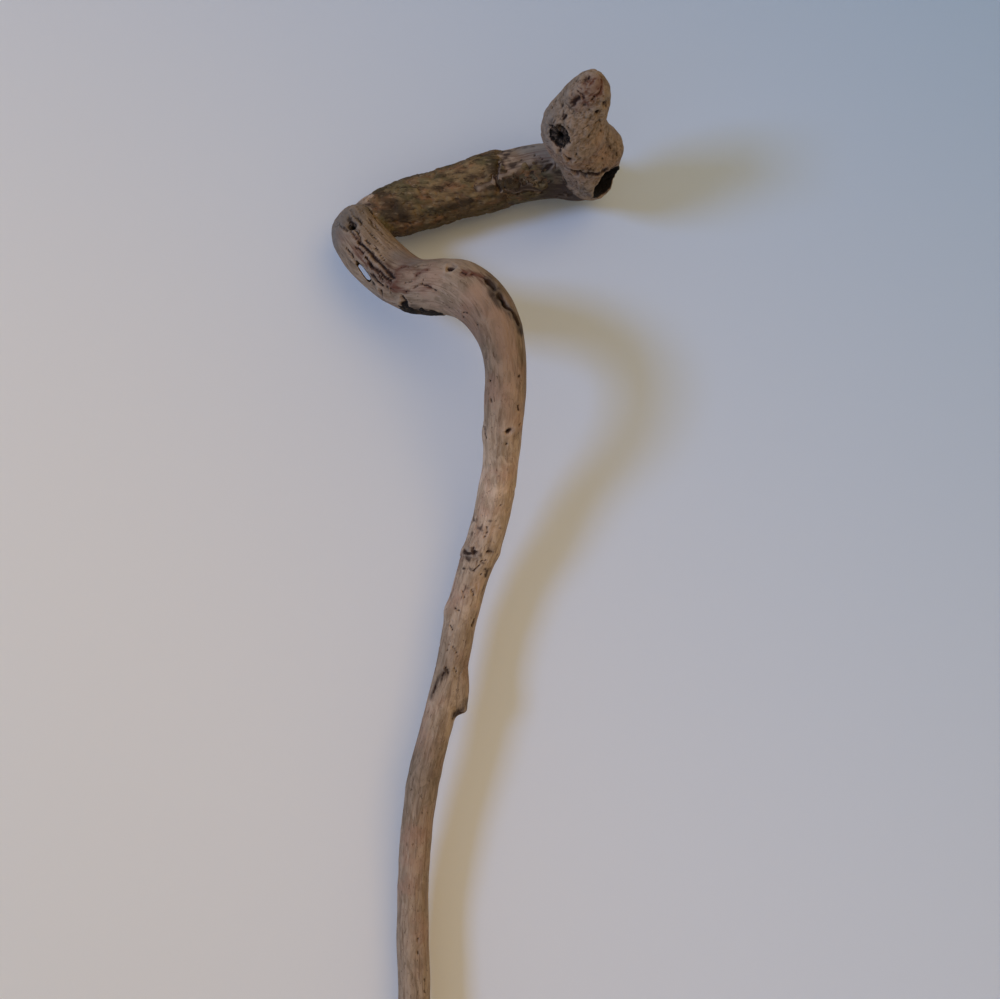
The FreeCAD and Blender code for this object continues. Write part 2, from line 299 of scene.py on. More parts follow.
# A bumpy cone, wide end out, for cutting a rotted hollow: rings from mouth to throat, each
# radius waved by noise round the ring, and a rounded floor. Outside the mouth it is at least
# as wide as the trim, which takes the surface off flat there.
def coneCutter(name, place, inward, mouth, throat, deep, seed, bumps=0.16, trim=0):
    inward = unit(np.array(inward, float))
    side = unit(np.cross(inward, (0.3, 0.2, 1)))
    other = np.cross(inward, side)
    turn = np.linspace(0, 2 * np.pi, 36, endpoint=False)
    down = np.array([-14, -0.1, 0, 0.3 * deep, 0.6 * deep, 0.85 * deep, 0.97 * deep, deep])
    width = np.array([max(mouth * 1.5, trim), max(mouth * 1.02, trim), mouth,
                      mouth * 0.62 + throat * 0.38, mouth * 0.3 + throat * 0.7,
                      throat * 0.9, throat * 0.6, throat * 0.2])
    ring = np.cos(turn)[:, None] * side + np.sin(turn)[:, None] * other
    spots = np.vstack([ring * 1.7 + inward * k * 0.3 for k in range(len(down))])
    waves = 1 + bumps * softNoise(spots, 1, seed).reshape(len(down), -1)
    grid = (np.array(place) + down[:, None, None] * inward
            + (width[:, None] * waves)[..., None] * ring) * mm
    points = np.vstack([grid.reshape(-1, 3), grid[0].mean(axis=0)[None], grid[-1].mean(axis=0)[None]])
    return meshObject(name, points, ringFaces(*grid.shape[:2]))


# A blade right through the strand, for the drying split: its outline is a lens, whose width is its
# full width times one minus the square of the way from its middle, and it is pushed straight through.
def bladeCutter(name, facts):
    through, along = unit(np.array(facts["through"])), unit(np.array(facts["along"]))
    across = unit(np.cross(through, along))
    part = np.linspace(-1, 1, 15)
    half = facts["width"] / 2 * np.maximum(1 - part ** 2, 0.02)
    outline = np.vstack([np.c_[part, half], np.c_[part[::-1], -half[::-1]]])
    flat = (np.array(facts["centre"]) + outline[:, :1] * facts["length"] / 2 * along
            + outline[:, 1:] * across)
    near, far = flat - through * facts["depth"] / 2, flat + through * facts["depth"] / 2
    count = len(flat)
    number = np.arange(count)
    beside = np.roll(number, -1)
    sides = np.stack([number, beside, beside + count, number + count], axis=-1)
    faces = [sides, number[None, ::-1], number[None] + count]
    return meshObject(name, np.vstack([near, far]) * mm, faces)


cutters = [coneCutter("eyeCutter", *hollow["eye"], seed=5, bumps=0.34),
           coneCutter("elbowKnotCutter", *hollow["elbowKnot"], seed=8),
           coneCutter("stumpCutter", *hollow["stump"], seed=11, bumps=0.12, trim=17),
           bladeCutter("slitCutter", hollow["slit"])]


# Makes one even skin of an object by remeshing it in voxels.
def remeshed(thing):
    remesh = thing.modifiers.new("even", "REMESH")
    remesh.mode = "VOXEL"
    remesh.voxel_size = wood["voxel"] * mm
    return baked(thing)


rough = remeshed(rough)
for cutter in cutters:
    facesOutward(cutter.data)
    cut = rough.modifiers.new(cutter.name, "BOOLEAN")
    cut.operation = "DIFFERENCE"
    cut.solver = "EXACT"
    cut.object = cutter
rough = remeshed(rough)
for cutter in cutters:
    bpy.data.objects.remove(cutter)
print("wood joined and hollowed:", len(rough.data.vertices), "points")


# For every point the limb whose surface is nearest, how much nearer it is than the next one, and
# the point in that limb's own straightened frame: across, upright and along.
def straightened(points):
    batch = 8000             # points at a time, to spare memory
    nearest = np.full((len(limbs), len(points)), np.inf)
    frames = np.zeros((len(limbs), len(points), 3))
    for k, name in enumerate(limbs):
        path = paths[name]
        for start in range(0, len(points), batch):
            part = points[start:start + batch]
            away = np.linalg.norm(part[:, None] - path["centre"][None], axis=2) - path["radius"]
            ring = away.argmin(axis=1)
            offset = part - path["centre"][ring]
            nearest[k, start:start + batch] = away[np.arange(len(part)), ring]
            along = path["along"][ring] + (offset * path["forward"][ring]).sum(1)
            frames[k, start:start + batch] = np.stack(
                [(offset * path["across"][ring]).sum(1), (offset * path["upright"][ring]).sum(1),
                 along + wood["limbGap"] * k], axis=-1)
    owner = nearest.argmin(axis=0)
    order = np.sort(nearest, axis=0)
    return owner, order[1] - order[0], frames[owner, np.arange(len(points))]


# The distance from each point to a line through places, which are first moved onto the surface.
def distanceToLine(points, places):
    line = np.array(places, float).reshape(-1, 3) * mm
    line = np.array([points[((points - place) ** 2).sum(1).argmin()] for place in line])
    nearest = np.linalg.norm(points - line[0], axis=1)
    for start, end in zip(line[:-1], line[1:]):
        run = end - start
        part = np.clip(((points - start) @ run) / max(run @ run, 1e-12), 0, 1)
        nearest = np.minimum(nearest, np.linalg.norm(points - start - part[:, None] * run, axis=1))
    return nearest


# Swellings: height and width in mm, then the places the swelling runs through.
swells = [
    (1.3, 7, [(24.5, -50, 708)]), (1.0, 5, [(12.5, -20, 641.5), (16, -25, 643)]),
    (1.1, 5, [(31.5, -20, 641)]), (1.6, 5, [(2.5, -15, 609.5)]), (0.7, 6, [(27, -27, 607)]),
    (1.2, 2.6, [(22, -17.6, 850.5), (29.7, -18.1, 854.3), (37.7, -17.9, 858.4), (44.6, -17.9, 861.8),
                (52, -17.9, 864.5)]),
    (1.0, 2.2, [(-33.5, -36, 790.5), (-30.5, -34, 785.5), (-25, -39, 781.5)]),
    (1.3, 3.2, [(-21, -41, 783.5)]), (0.8, 5, [(-44, -31, 822)]), (0.9, 6, [(-18, -44, 797)]),
    (1.0, 5, [(84.5, -93, 880), (84, -88, 874)]), (0.9, 4, [(70, -88, 881)]),
    (1.1, 4, [(68, -64, 861), (73, -61, 857.5)]), (0.9, 5, [(86, -34, 851), (80, -28, 846.5)]),
    (0.8, 6, [(64, -16, 857)]), (0.7, 3, [(-38, -33, 806), (-28, -39, 796)]),
    (0.7, 3, [(-42, -34, 812), (-32, -39, 803)]), (2.4, 8, [(-50, -16, 841), (-44, -14, 844)]),
    (0.9, 4, [(72, -87, 881), (77, -91, 882)]),
]
# Cracks, pits and holes: width and depth in mm, then the places they run through.
cracks = [
    # the knob's tip, its scar and its pores
    (3.8, 2.2, [(77.8, -97.3, 886.6)]),
    (1.0, 0.7, [(84.9, -96.7, 885.7), (84.6, -95.1, 879.6), (82.1, -93.8, 877)]),
    (1.5, 0.9, [(74.8, -93, 881), (77, -93, 880.2), (77.6, -92, 878)]),
    (1.0, 0.6, [(69, -86.5, 874.2), (72.5, -90, 876)]),
    (2.3, 1.5, [(70.3, -88.5, 876), (73, -90, 877.6), (76, -91.5, 879.2)]),
    (3.4, 1.8, [(84.8, -85.6, 872.9)]), (1.6, 1.0, [(70.2, -77.9, 867.4)]),
    (1.2, 0.8, [(61.7, -73.6, 879.5)]), (1.3, 0.8, [(59.5, -70.4, 876.2)]),
    (1.2, 0.8, [(66, -78.2, 872.3), (67.4, -80.7, 874.4)]),
    (2.6, 1.6, [(90.5, -91, 878), (91.5, -86, 875)]),
    # creases from the eye down to the crevice under the brow
    (1.0, 0.8, [(67.6, -66.8, 859.5), (69.3, -64.6, 857.4), (71.6, -61.9, 855.8)]),
    (2.2, 1.8, [(71.6, -61.9, 855.8)]),
    (0.9, 0.7, [(74.8, -66, 857.2), (76.5, -64, 856), (74.8, -61, 854.6)]),
    (2.6, 1.7, [(70.5, -49.4, 854.5), (74, -49.1, 853), (76.7, -49.1, 851.9)]),
    (5.0, 1.9, [(76.7, -49.1, 851.6), (80, -48.4, 850.8)]),
    (3.4, 1.6, [(80, -48.4, 850.8), (84, -47.6, 850)]),
    (2.2, 1.2, [(85, -47.2, 851.2), (89.1, -45.2, 851.5), (93.6, -43.9, 853.8)]),
    (1.3, 1.0, [(74, -50, 855.6), (79, -50, 854.4)]), (1.2, 0.9, [(72.5, -47.5, 850.5), (76, -46, 848.8)]),
    (1.8, 1.6, [(66.8, -75, 868.5), (67.6, -77.5, 871.8), (68.6, -79, 873)]),
    (1.4, 1.2, [(60.8, -73, 868.5), (58.8, -71.5, 870.5)]),
    (1.4, 1.3, [(64, -68.5, 858.6), (63.6, -66.5, 856)]),
    (1.6, 1.4, [(69.6, -73.5, 863.5), (70.8, -72.5, 861)]), (1.5, 0.9, [(77.3, -31.1, 848.2)]),
    (1.5, 0.9, [(81.1, -31.9, 846.8)]), (1.2, 0.8, [(93.4, -58.3, 866.7), (95.6, -52.4, 864.1)]),
    (1.4, 0.8, [(98, -47, 863), (98.5, -44.6, 861.9)]),
    # the limb: the black crack across it and the crevices along its lower side
    (1.8, 1.5, [(32.7, -17.6, 864.9), (33.2, -18.5, 859.3), (30.7, -18.5, 857), (32.7, -17.4, 853),
                (34, -15.6, 849.8)]),
    (1.3, 1.0, [(37, -14, 849), (40.9, -11.8, 847.8), (50.7, -11.6, 849.6), (58.3, -9.6, 848.9)]),
    (1.2, 0.9, [(60, -16, 861), (64, -17, 864)]), (1.0, 0.7, [(68, -17, 870), (66, -17, 866)]),
    # the elbow and the cracked strand
    (0.8, 0.8, [(-46, -29, 829), (-45, -30, 825.5), (-46, -31, 822)]),
    (0.9, 1.1, [(-47, -31, 813), (-42, -34, 809), (-36, -37, 801), (-29, -40, 794)]),
    (0.9, 1.0, [(-51, -26, 814), (-48, -29, 808), (-44, -31, 803)]),
    (0.8, 0.9, [(-41, -33, 817), (-36, -36, 812), (-29, -40, 805)]),
    (0.8, 0.9, [(-36, -36, 797), (-31, -39, 791), (-26, -41, 786)]),
    (1.3, 1.7, [(-45.2, -33.2, 815.9), (-40.3, -35.6, 811.9), (-35.3, -37.9, 806.2), (-29.9, -40.4, 801),
                (-24.5, -43.8, 795.3)]),
    (1.0, 1.5, [(-41.4, -35.6, 807.1), (-37.4, -37.5, 803.1), (-32.6, -39.6, 797.5), (-26.6, -42.6, 792.3)]),
    (1.0, 1.4, [(-39.1, -35.7, 798.8), (-33.8, -38, 793.7), (-28.3, -40.5, 789.1)]),
    (1.5, 1.4, [(-32.4, -36.4, 788.8), (-29.5, -33.4, 783.7), (-24.3, -39.1, 780.6)]),
    (1.7, 1.6, [(-17.5, -42.5, 785.5), (-16.8, -43, 781.5), (-20, -41, 779.5)]),
    (1.0, 0.8, [(-27, -43, 787.5), (-16, -47, 787), (-6, -53, 787.6), (3, -58, 787)]),
    (0.9, 0.7, [(-9, -52, 794), (-4.5, -55, 795.2)]),
    (0.8, 0.6, [(-20, -44, 800), (-12, -50, 800.5), (-3, -56, 799)]),
    (0.8, 0.6, [(-15, -46, 791.5), (-6, -53, 791)]),
    # the bend
    (3.0, 2.4, [(7.2, -65.3, 795.5), (8.8, -65.8, 795.3)]),
    (1.0, 0.7, [(13, -68, 792.5), (17, -69.5, 791.6)]),
    (1.1, 0.8, [(20, -69.7, 791.6), (25, -69.7, 790.6), (27, -71, 788.5)]),
    (3.0, 1.5, [(27.6, -71, 787.8), (30.8, -72.2, 784.4)]),
    (4.0, 1.8, [(34, -73.5, 779), (36.5, -74, 775.5)]),
    (2.0, 1.2, [(36.5, -74, 775.5), (39.3, -73.5, 772.1), (42.5, -71.5, 768.1), (43.5, -70.5, 765)]),
    (1.2, 0.9, [(14.2, -69, 768.6), (15.4, -69.5, 771), (17, -70.5, 770.6)]),
    (1.1, 0.7, [(21.9, -73.8, 764.6)]),
    # the shaft
    (1.7, 1.1, [(29.2, -68.1, 734.8)]), (1.2, 0.8, [(29.2, -65.2, 726.5), (29.4, -64.6, 724.8)]),
    (1.4, 0.8, [(44.4, -69.7, 737)]), (1.4, 0.8, [(43.6, -64.5, 722), (44, -63.8, 719.5)]),
    (2.1, 1.6, [(38, -59, 708.2), (39.8, -59, 708.6)]),
    (1.1, 0.8, [(43.9, -57.5, 711.5), (44.1, -57.5, 713.5)]), (1.3, 0.9, [(37.6, -55.5, 700.9)]),
    (1.1, 0.8, [(25.4, -51.5, 712), (26.4, -52.3, 709.3), (26.2, -51.5, 706)]),
    (1.0, 0.7, [(28.2, -53, 712), (26.4, -52.3, 709.3)]), (1.0, 0.6, [(33.9, -36.4, 669)]),
    (1.2, 0.8, [(26.9, -32.7, 656), (26.4, -32, 653)]), (1.2, 0.8, [(25.7, -31.2, 650.7)]),
    (1.4, 1.2, [(18.9, -27.9, 644.4), (18.8, -27.6, 640.6)]),
    (1.3, 1.0, [(14, -24, 642.5), (16.5, -26.5, 641.5), (21, -28, 641.8)]),
    (1.1, 0.8, [(23.7, -27.4, 636.9), (26.7, -27.1, 638.5)]),
    (1.0, 0.7, [(26, -28.6, 642.1), (29, -27, 642)]), (1.0, 0.7, [(23.2, -25.2, 629.8)]),
    (1.2, 0.7, [(12.4, -23.3, 619.4), (14, -24, 617)]), (1.1, 0.7, [(18.1, -24, 620.6), (19.4, -24, 617)]),
    (1.3, 0.9, [(20.2, -20, 602.5), (19.6, -19.6, 599)]), (0.8, 0.7, [(1.5, -21, 573), (0, -20.5, 571)]),
    (0.9, 0.6, [(-3.2, -19.4, 565), (-4.2, -19, 562)]), (0.9, 0.7, [(20, -25, 631.5), (22.5, -24.5, 634)]),
    (0.8, 0.6, [(8, -21.5, 611.5), (10.5, -22, 610.3)]), (0.9, 0.7, [(4, -20.5, 601), (5.5, -21, 598.5)]),
    (1.0, 0.7, [(6, -21.5, 586.5), (8.5, -22, 585)]), (0.8, 0.6, [(3.4, -20.8, 588.5), (3, -20.6, 586)]),
    (1.0, 0.8, [(3, -21, 575.5), (4.4, -21.3, 573.5)]), (0.8, 0.6, [(9, -21.5, 575), (10, -21.3, 573)]),
    (0.8, 0.6, [(7.3, -19, 549.5), (7, -19, 546)]),
    (1.6, 0.9, [(16, -14, 554), (13, -16.5, 549), (9.5, -18, 546)]),
    (1.0, 0.7, [(-13.4, -10.9, 418), (-13.2, -10.9, 410)]),
    (1.0, 0.7, [(-10.1, -8.9, 394), (-9.8, -8.9, 386)]),
]
# Stains of each kind, and among the dark ones a painted shade under the snag: strength and width in mm, then
# the places they run through.
stainsAndShade = {
    "dark": [
        (0.35, 9, [(-22, -38, 807), (-13, -44, 802)]), (0.7, 5.5, [(-49.6, -25.1, 826.1)]),
        (0.5, 3.4, [(-45, -33, 816), (-35, -38, 806), (-25, -43.5, 795)]),
        (0.4, 3.0, [(-53, -23, 827), (-51, -27, 829), (-46, -28, 828), (-44.5, -30, 823)]),
        (0.5, 3.0, [(-41, -35.6, 807), (-32.6, -39.6, 797.5), (-26, -42, 792)]),
        (0.4, 3.0, [(-39, -35.7, 798.8), (-28.3, -40.5, 789.1)]),
        (0.85, 4.2, [(27.6, -71, 787.8), (35, -74, 777), (42.5, -71.5, 768), (44, -70, 762)]),
        (0.4, 3, [(29, -72, 779), (33, -74, 774)]), (0.6, 4, [(-18, -41, 780), (-8, -46, 776)]),
        (0.5, 3.5, [(26.4, -52.3, 709.3)]), (0.5, 3.2, [(14, -24, 642), (21, -28, 641.5)]),
        (0.35, 5, [(20, -27, 640), (24, -27, 632)]),
        (0.6, 3.2, [(2.4, -21.2, 574), (-1, -20, 569), (-5, -18.5, 559)]),
        (0.45, 3, [(20.7, -20.5, 607), (20.5, -20, 602)]),
        (0.8, 2.6, [(33, -17.6, 865), (33.2, -18.5, 859), (31, -18.5, 857), (33, -17, 852),
                    (34, -15, 848)]),
        # the last mark on the next line and the mark after it darken the snag's underside: painted shade
        (0.45, 9, [(74, -30, 846), (84, -28, 846)]), (0.85, 3.6, [(15.5, -13, 553), (9, -17, 548)]),
        (0.5, 3.5, [(17, -17, 557)]),
        (0.55, 2.6, [(70, -88.5, 875.8), (73, -90, 877.5), (76, -91.5, 879)]),
        (0.75, 3.6, [(71.8, -49.4, 853.4), (82.8, -47.9, 851.1)]),
        (0.5, 3.2, [(84, -47, 851), (93.6, -43.9, 853.8)]), (0.5, 5, [(95, -55, 865), (98, -46, 862)]),
        (0.7, 5.5, [(64.3, -72.3, 863.4)]), (0.4, 2.4, [(67.6, -66.8, 859.5), (71.6, -61.9, 855.8)]),
        (0.5, 3, [(36, -15, 851), (52, -13, 850)]), (0.7, 5, [(99, -20, 848), (97, -33, 856)]),
        (0.35, 8, [(78, -6, 850), (66, -6, 850)]),
    ],
    "rust": [
        (0.8, 3.2, [(15.1, -69.5, 791.9), (22.8, -69.7, 791.1), (27, -71, 788)]),
        (0.6, 2.6, [(-9, -52, 794), (-4.5, -55, 795.2)]),
        (0.55, 2.4, [(-27, -43, 788.5), (-15, -47, 787.5), (0, -56, 787)]),
        (0.4, 2.4, [(-20, -44, 800), (-10, -51, 798)]), (0.25, 8, [(-24, -41, 793), (-14, -46, 794)]),
        (0.7, 3.0, [(84.9, -96.7, 885.7), (84.6, -95.1, 879.6)]), (0.6, 6, [(73.1, -89.9, 877.7)]),
        (0.6, 9, [(80, -94, 882)]), (0.45, 5, [(22, -17, 851), (27, -18, 853)]),
        (0.35, 8, [(-46, -28, 821)]), (0.5, 3, [(7, -20.6, 633), (10, -22, 640)]),
        (0.6, 7, [(-44, -33, 813), (-34, -38, 802), (-24, -43, 793)]),
        (0.7, 6, [(18, -17, 849), (26, -18, 853), (34, -18, 857)]),
        (0.4, 12, [(46, -17, 866), (60, -16, 868)]), (0.3, 9, [(74, -30, 846), (84, -28, 846)]),
    ],
    "pale": [
        (0.8, 8, [(21.8, -71, 780.6)]), (0.8, 10, [(32.7, -72, 768), (36, -68, 752)]),
        (0.5, 10, [(38, -62, 735), (38, -52, 712)]), (0.5, 9, [(24, -27, 622)]),
        (0.5, 8, [(-12, -48, 791), (4, -60, 791)]), (0.5, 12, [(84, -65, 866), (86, -50, 862)]),
        (0.5, 5, [(71, -62, 860.5)]), (0.4, 9, [(-9, -18, 545), (-12, -16, 530)]),
        (0.4, 12, [(62, -60, 872), (60, -52, 866)]),
    ],
    "grey": [
        (0.55, 9, [(-22, -38, 808), (-14, -44, 803)]), (0.6, 12, [(-52, -22, 833), (-56, -18, 822)]),
        (0.7, 10, [(52, -12, 875), (66, -14, 872)]), (0.5, 10, [(60, -72, 872), (62, -62, 866)]),
        (0.6, 6, [(-38, -26, 797), (-30, -30, 787)]), (0.5, 8, [(82, -28, 847)]),
    ],
    "moss": [
        (0.5, 10, [(54, -12, 853), (44, -8, 848)]), (0.4, 6, [(56, -16, 857)]), (0.35, 8, [(88, -62, 872)]),
        (0.5, 7, [(-42, -18, 838)]),
    ],
}

mesh = rough.data
points, edges = pointsOf(mesh), edgesOf(mesh)
owner, crease, grain = straightened(points)
points = relax(points, edges, 0.35 + 0.6 * bell(crease, wood["creaseWidth"] * mm), 6)
movePoints(mesh, points)
normals = normalsOf(mesh)
owner, crease, grain = straightened(points)
kind = np.array(limbs)[owner]
onShaft, onLimb = kind == "shaft", 1.0 * (kind == "limb")
headed = np.isin(kind, ["knob", "cheek", "collar"])
reach = grain[:, 2] - wood["limbGap"] * owner               # metres along the point's own limb
grain[:, 2] *= np.where(headed, 4, 1)                       # burr wood has hardly any grain
still = 1 - smoothStep(points[:, 2], wood["free"] * mm, wood["still"] * mm)

# lumps are plain noise; ripples and flutes are noise stretched along the grain
lift = wood["lumps"] * layeredNoise(points, wood["lumpSize"] * mm, 3, 3)
lift += wood["ripples"] * layeredNoise(grain * (1, 1, 0.16), wood["rippleSize"] * mm, 23)
lift += wood["flutes"] * layeredNoise(grain * (1, 1, 0.04), wood["fluteSize"] * mm, 31, 2)
waver = softNoise(points, 5 * mm, 61)                       # makes borders uneven
stray = np.stack([layeredNoise(points, 7 * mm, 63 + k, 3) for k in range(3)], axis=-1)
crooked = points + wood["crooked"] * mm * stray             # where a point counts as lying, for a crack
for height, width, places in swells:
    lift += height * bell(distanceToLine(points, places), width * mm)
# a crack is a bell-shaped trough between two low lips; its rim frays and its width comes and goes
edge = np.full(len(points), 6.0)        # mm to the rim of the nearest crack or pit, less than 0 in it
fray = layeredNoise(grain * (1, 1, 0.5), 2.2 * mm, 71, 2)
pinch = np.clip(1 + 0.55 * layeredNoise(points, 4 * mm, 73, 2), 0.45, 1.6)          # how open a crack is
for width, depth, places in cracks:
    away = distanceToLine(points if len(places) == 1 else crooked, places) / mm / pinch
    lift += 0.3 * depth * bell(away, 1.6 * width) - 1.3 * depth * bell(away, 0.62 * width)
    edge = np.minimum(edge, away - 0.4 * width * (1 + 0.8 * fray))
# furrows open where a stretched noise passes through nothing; they belong to the strand and elbow
opened, faded = smoothStep(reach, 0.845, 0.885), smoothStep(reach, 0.885, 0.9)      # metres along it
furrowed = np.where(onShaft, opened - 0.6 * faded, 0)
furrowed = furrowed + 0.45 * (kind == "knob")
valley = np.abs(layeredNoise(grain * (1, 1, 0.15), wood["furrowSize"] * mm, 83, 3))
lift -= wood["furrows"] * furrowed * (1 - smoothStep(valley, 0, 0.2))
unfurrowed = 5 * (1 - np.minimum(furrowed * 1.4, 1))
edge = np.minimum(edge, (valley - 0.01) * 10 + unfurrowed + 0.55 + 0.6 * waver)
lift += wood["burls"] * headed * layeredNoise(points, wood["burlSize"] * mm, 87, 3)
# pits belong to the knob, the limb and the shaft's knotty stretch
pitted = layeredNoise(points, wood["pitSize"] * mm, 89, 2)
nodes = 0.6 * onShaft * bell(reach - wood["knottyAt"] * mm, wood["knottyLength"] * mm)
lift -= wood["pits"] * (0.7 * headed + onLimb + nodes) * smoothStep(pitted, 0.5, 0.8)
points = points + normals * (lift * still * mm)[:, None]
movePoints(mesh, points)
# how far each point lies below the smoothed surface round it, in mm: the wood's colour turns it into painted
# shade in the hollows and a painted highlight on the ridges
shadeAndHighlightDepth = ((relax(points, edges, np.full(len(points), 1.0), 5) - points) * normalsOf(mesh)).sum(1) / mm

# each stain fades out as a bell round its line, and stains that meet add up to 1 at most
levels = {}
for name, marks in stainsAndShade.items():
    level = np.zeros(len(points))
    for strength, width, places in marks:
        spread = bell(distanceToLine(points, places) * (1 + 0.3 * waver), width * mm) * strength
        level = level + spread - level * spread
    levels[name] = level
# the strand greys towards the elbow, and the limb's underside is damp and mossy past the elbow
strand = smoothStep(reach, 0.86, 0.97) * onShaft
under = smoothStep(normals[:, 2], 0.35, -0.35) * onLimb * smoothStep(points[:, 0], -25 * mm, -10 * mm)
levels["grey"] = np.clip(levels["grey"] + 0.2 * onLimb * (1 - under) + 0.22 * strand, 0, 1)
levels["moss"] = np.clip(levels["moss"] + 0.5 * under, 0, 1)
mottled = 0.8 * np.maximum(layeredNoise(points * (0.6, 1, 1), 4.5 * mm, 57, 3), 0) * onLimb
mottled = mottled + 1.3 * nodes * np.maximum(layeredNoise(crooked, 3.4 * mm, 59, 3) - 0.1, 0)
levels["dark"] = np.clip(levels["dark"] + 0.22 * onLimb + mottled + 0.25 * under + 0.15 * strand, 0, 1)
# the walls of the three rotted hollows count as deep in a crack a little way in, so the wood's colour paints
# them black as painted shade
for name in ("eye", "elbowKnot", "stump"):
    place, inward, mouth = (np.array(part, float) for part in hollow[name][:3])
    offset = points / mm - place
    deep = offset @ unit(inward)
    beside = np.linalg.norm(offset - deep[:, None] * unit(inward), axis=1)
    inside = smoothStep(deep, 0.3, 1.6) * (beside < mouth * 1.05) * (deep < hollow[name][4] + 2)
    edge = np.where(inside > 0, np.minimum(edge, 1 - 2.2 * inside), edge)
for name, level in levels.items():
    paint(mesh, name, level)
# how light the wood is: on the shaft by stops of mm along it and lightness, elsewhere by limb
shaftTone = [(385, 0.88), (462, 0.96), (510, 0.66), (545, 1.06), (573, 0.8), (602, 1.16), (632, 1.06),
             (680, 1.45), (712, 1.06), (741, 0.76), (760, 0.6), (780, 0.62), (805, 0.82), (838, 0.66),
             (866, 0.78), (893, 0.62), (930, 0.56)]
limbTone = {"limb": 0.92, "knob": 0.68, "cheek": 0.68, "collar": 0.68, "snag": 0.9}
tone = np.interp(reach / mm, *zip(*shaftTone))
for name, level in limbTone.items():
    tone = np.where(kind == name, level, tone)
paint(mesh, "tone", tone)
paint(mesh, "shadeAndHighlightDepth", shadeAndHighlightDepth)
paint(mesh, "edge", edge)
paintVector(mesh, "grain", grain)
print("wood shaped and stained")


# A closed surface round an axis: ring after ring, each with its own radius and height for every
# angle, and one point closing each end. Heights run along the axis.
def ringStack(name, place, axis, radius, height, columns):
    axis = unit(np.array(axis, float))
    side = unit(np.cross(axis, (0.3, 0.2, 1) if abs(axis[2]) < 0.9 else (1, 0, 0)))
    other = np.cross(axis, side)
    turn = np.linspace(0, 2 * np.pi, columns, endpoint=False)
    ring = np.cos(turn)[:, None] * side + np.sin(turn)[:, None] * other
    radius, height = np.broadcast_arrays(np.atleast_2d(radius), np.atleast_2d(height))
    grid = np.array(place, float) + radius[..., None] * ring[None] + height[..., None] * axis
    grid = np.broadcast_to(grid, (grid.shape[0], columns, 3))
    ends = np.stack([grid[0].mean(axis=0), grid[-1].mean(axis=0)])
    return meshObject(name, np.vstack([grid.reshape(-1, 3), ends]) * mm, ringFaces(len(grid), columns))


bark = {
    "thickness": 1.15, "waves": 0.6, "fissures": 0.7, "grit": 0.24,     # mm
    "under": 0.7, "wornDepth": 0.4,    # mm below the wood of the inner face, and of worn-through bark
    "sleeveRows": 150, "sleeveColumns": 160, "offWood": 2.6,    # mm off the wood before it is shrunk on
    # where the sleeve starts and ends along the limb, in mm from the elbow, at the top, the front,
    # the bottom and the back of the limb
    "starts": (13.5, 15, 17, 15), "ends": (95, 95, 96, 95),
    "wavyStart": 2.0, "wavyEnd": 2.6,  # mm by which the sleeve's two ends wave
    "torn": 0.34, "notches": 11,       # share by which a patch's edges wave, and how often
    "ragged": 9,             # rows of points over which the rim frays
    "edgeShade": 0.45,        # how dark the painted shade makes the top and the underside
    # strength and width in mm of the damp, dark places, and where they run
    "dampAndShade": [(0.6, 5, [(29, -18, 866), (32, -18, 852)]), (0.7, 6, [(-26, -18, 840), (-22, -19, 836)]),
             (0.5, 3.5, [(-8, -16, 838), (6, -16, 839), (16, -15, 842)]),
             (0.7, 6, [(40, -18, 855), (46, -17, 853)]), (0.5, 5, [(-34, -16, 846), (-30, -18, 830)]),
             (-0.5, 7, [(-12, -20, 846), (12, -18, 858)]), (-0.4, 5, [(-30, -20, 828), (-27, -20, 826)])],
}


# A single layer of points laid on the wood: along the limb between two wavy ends, all the way round.
def sleeveOverWood(path, starts, ends, rows, columns):
    turn = np.linspace(0, 2 * np.pi, columns, endpoint=False)
    around = np.c_[np.cos(turn), np.sin(turn), np.zeros(columns)]
    knots = np.linspace(0, 2 * np.pi, 5)
    start = np.interp(turn, knots, starts + starts[:1]) + bark["wavyStart"] * layeredNoise(around, 0.45, 5)
    end = np.interp(turn, knots, ends + ends[:1]) + bark["wavyEnd"] * layeredNoise(around, 0.3, 9)
    part = np.linspace(0, 1, rows)[:, None]
    along = (start + part * (end - start)) * mm
    where = [np.stack([np.interp(along, path["along"], path[key][:, axis]) for axis in range(3)], axis=-1)
             for key in ("centre", "across", "upright")]
    radius = np.interp(along, path["along"], path["radius"]) + bark["offWood"] * mm
    ring = np.cos(turn)[None, :, None] * where[1] + np.sin(turn)[None, :, None] * where[2]
    return where[0] + radius[..., None] * ring


# A single layer of points between an upper and a lower edge, each a smooth line through places,
# pulled in to a rounded end at both sides.
def patchOverWood(upper, lower, rows, columns, seed):
    part = np.linspace(0, 1, columns)
    lines = []
    for places in (upper, lower):
        table = np.array(places, float)
        lines.append(smoothThrough(np.linspace(0, 1, len(table)), table, part))
    middle = (lines[0] + lines[1]) / 2
    spread = np.sqrt(np.maximum(1 - np.abs(2 * part - 1) ** 4, 0.004))      # never quite a point
    across = np.linspace(-1, 1, rows)[:, None, None]
    spots = np.c_[part * bark["notches"], 0 * part, 0 * part]
    torn = [spread * (1 + bark["torn"] * layeredNoise(spots, 1, seed + k)) for k in (0, 50)]
    spread = np.where(across < 0, torn[0][None, :, None], torn[1][None, :, None])
    return (middle + across * spread * (lines[1] - lines[0]) / 2) * mm


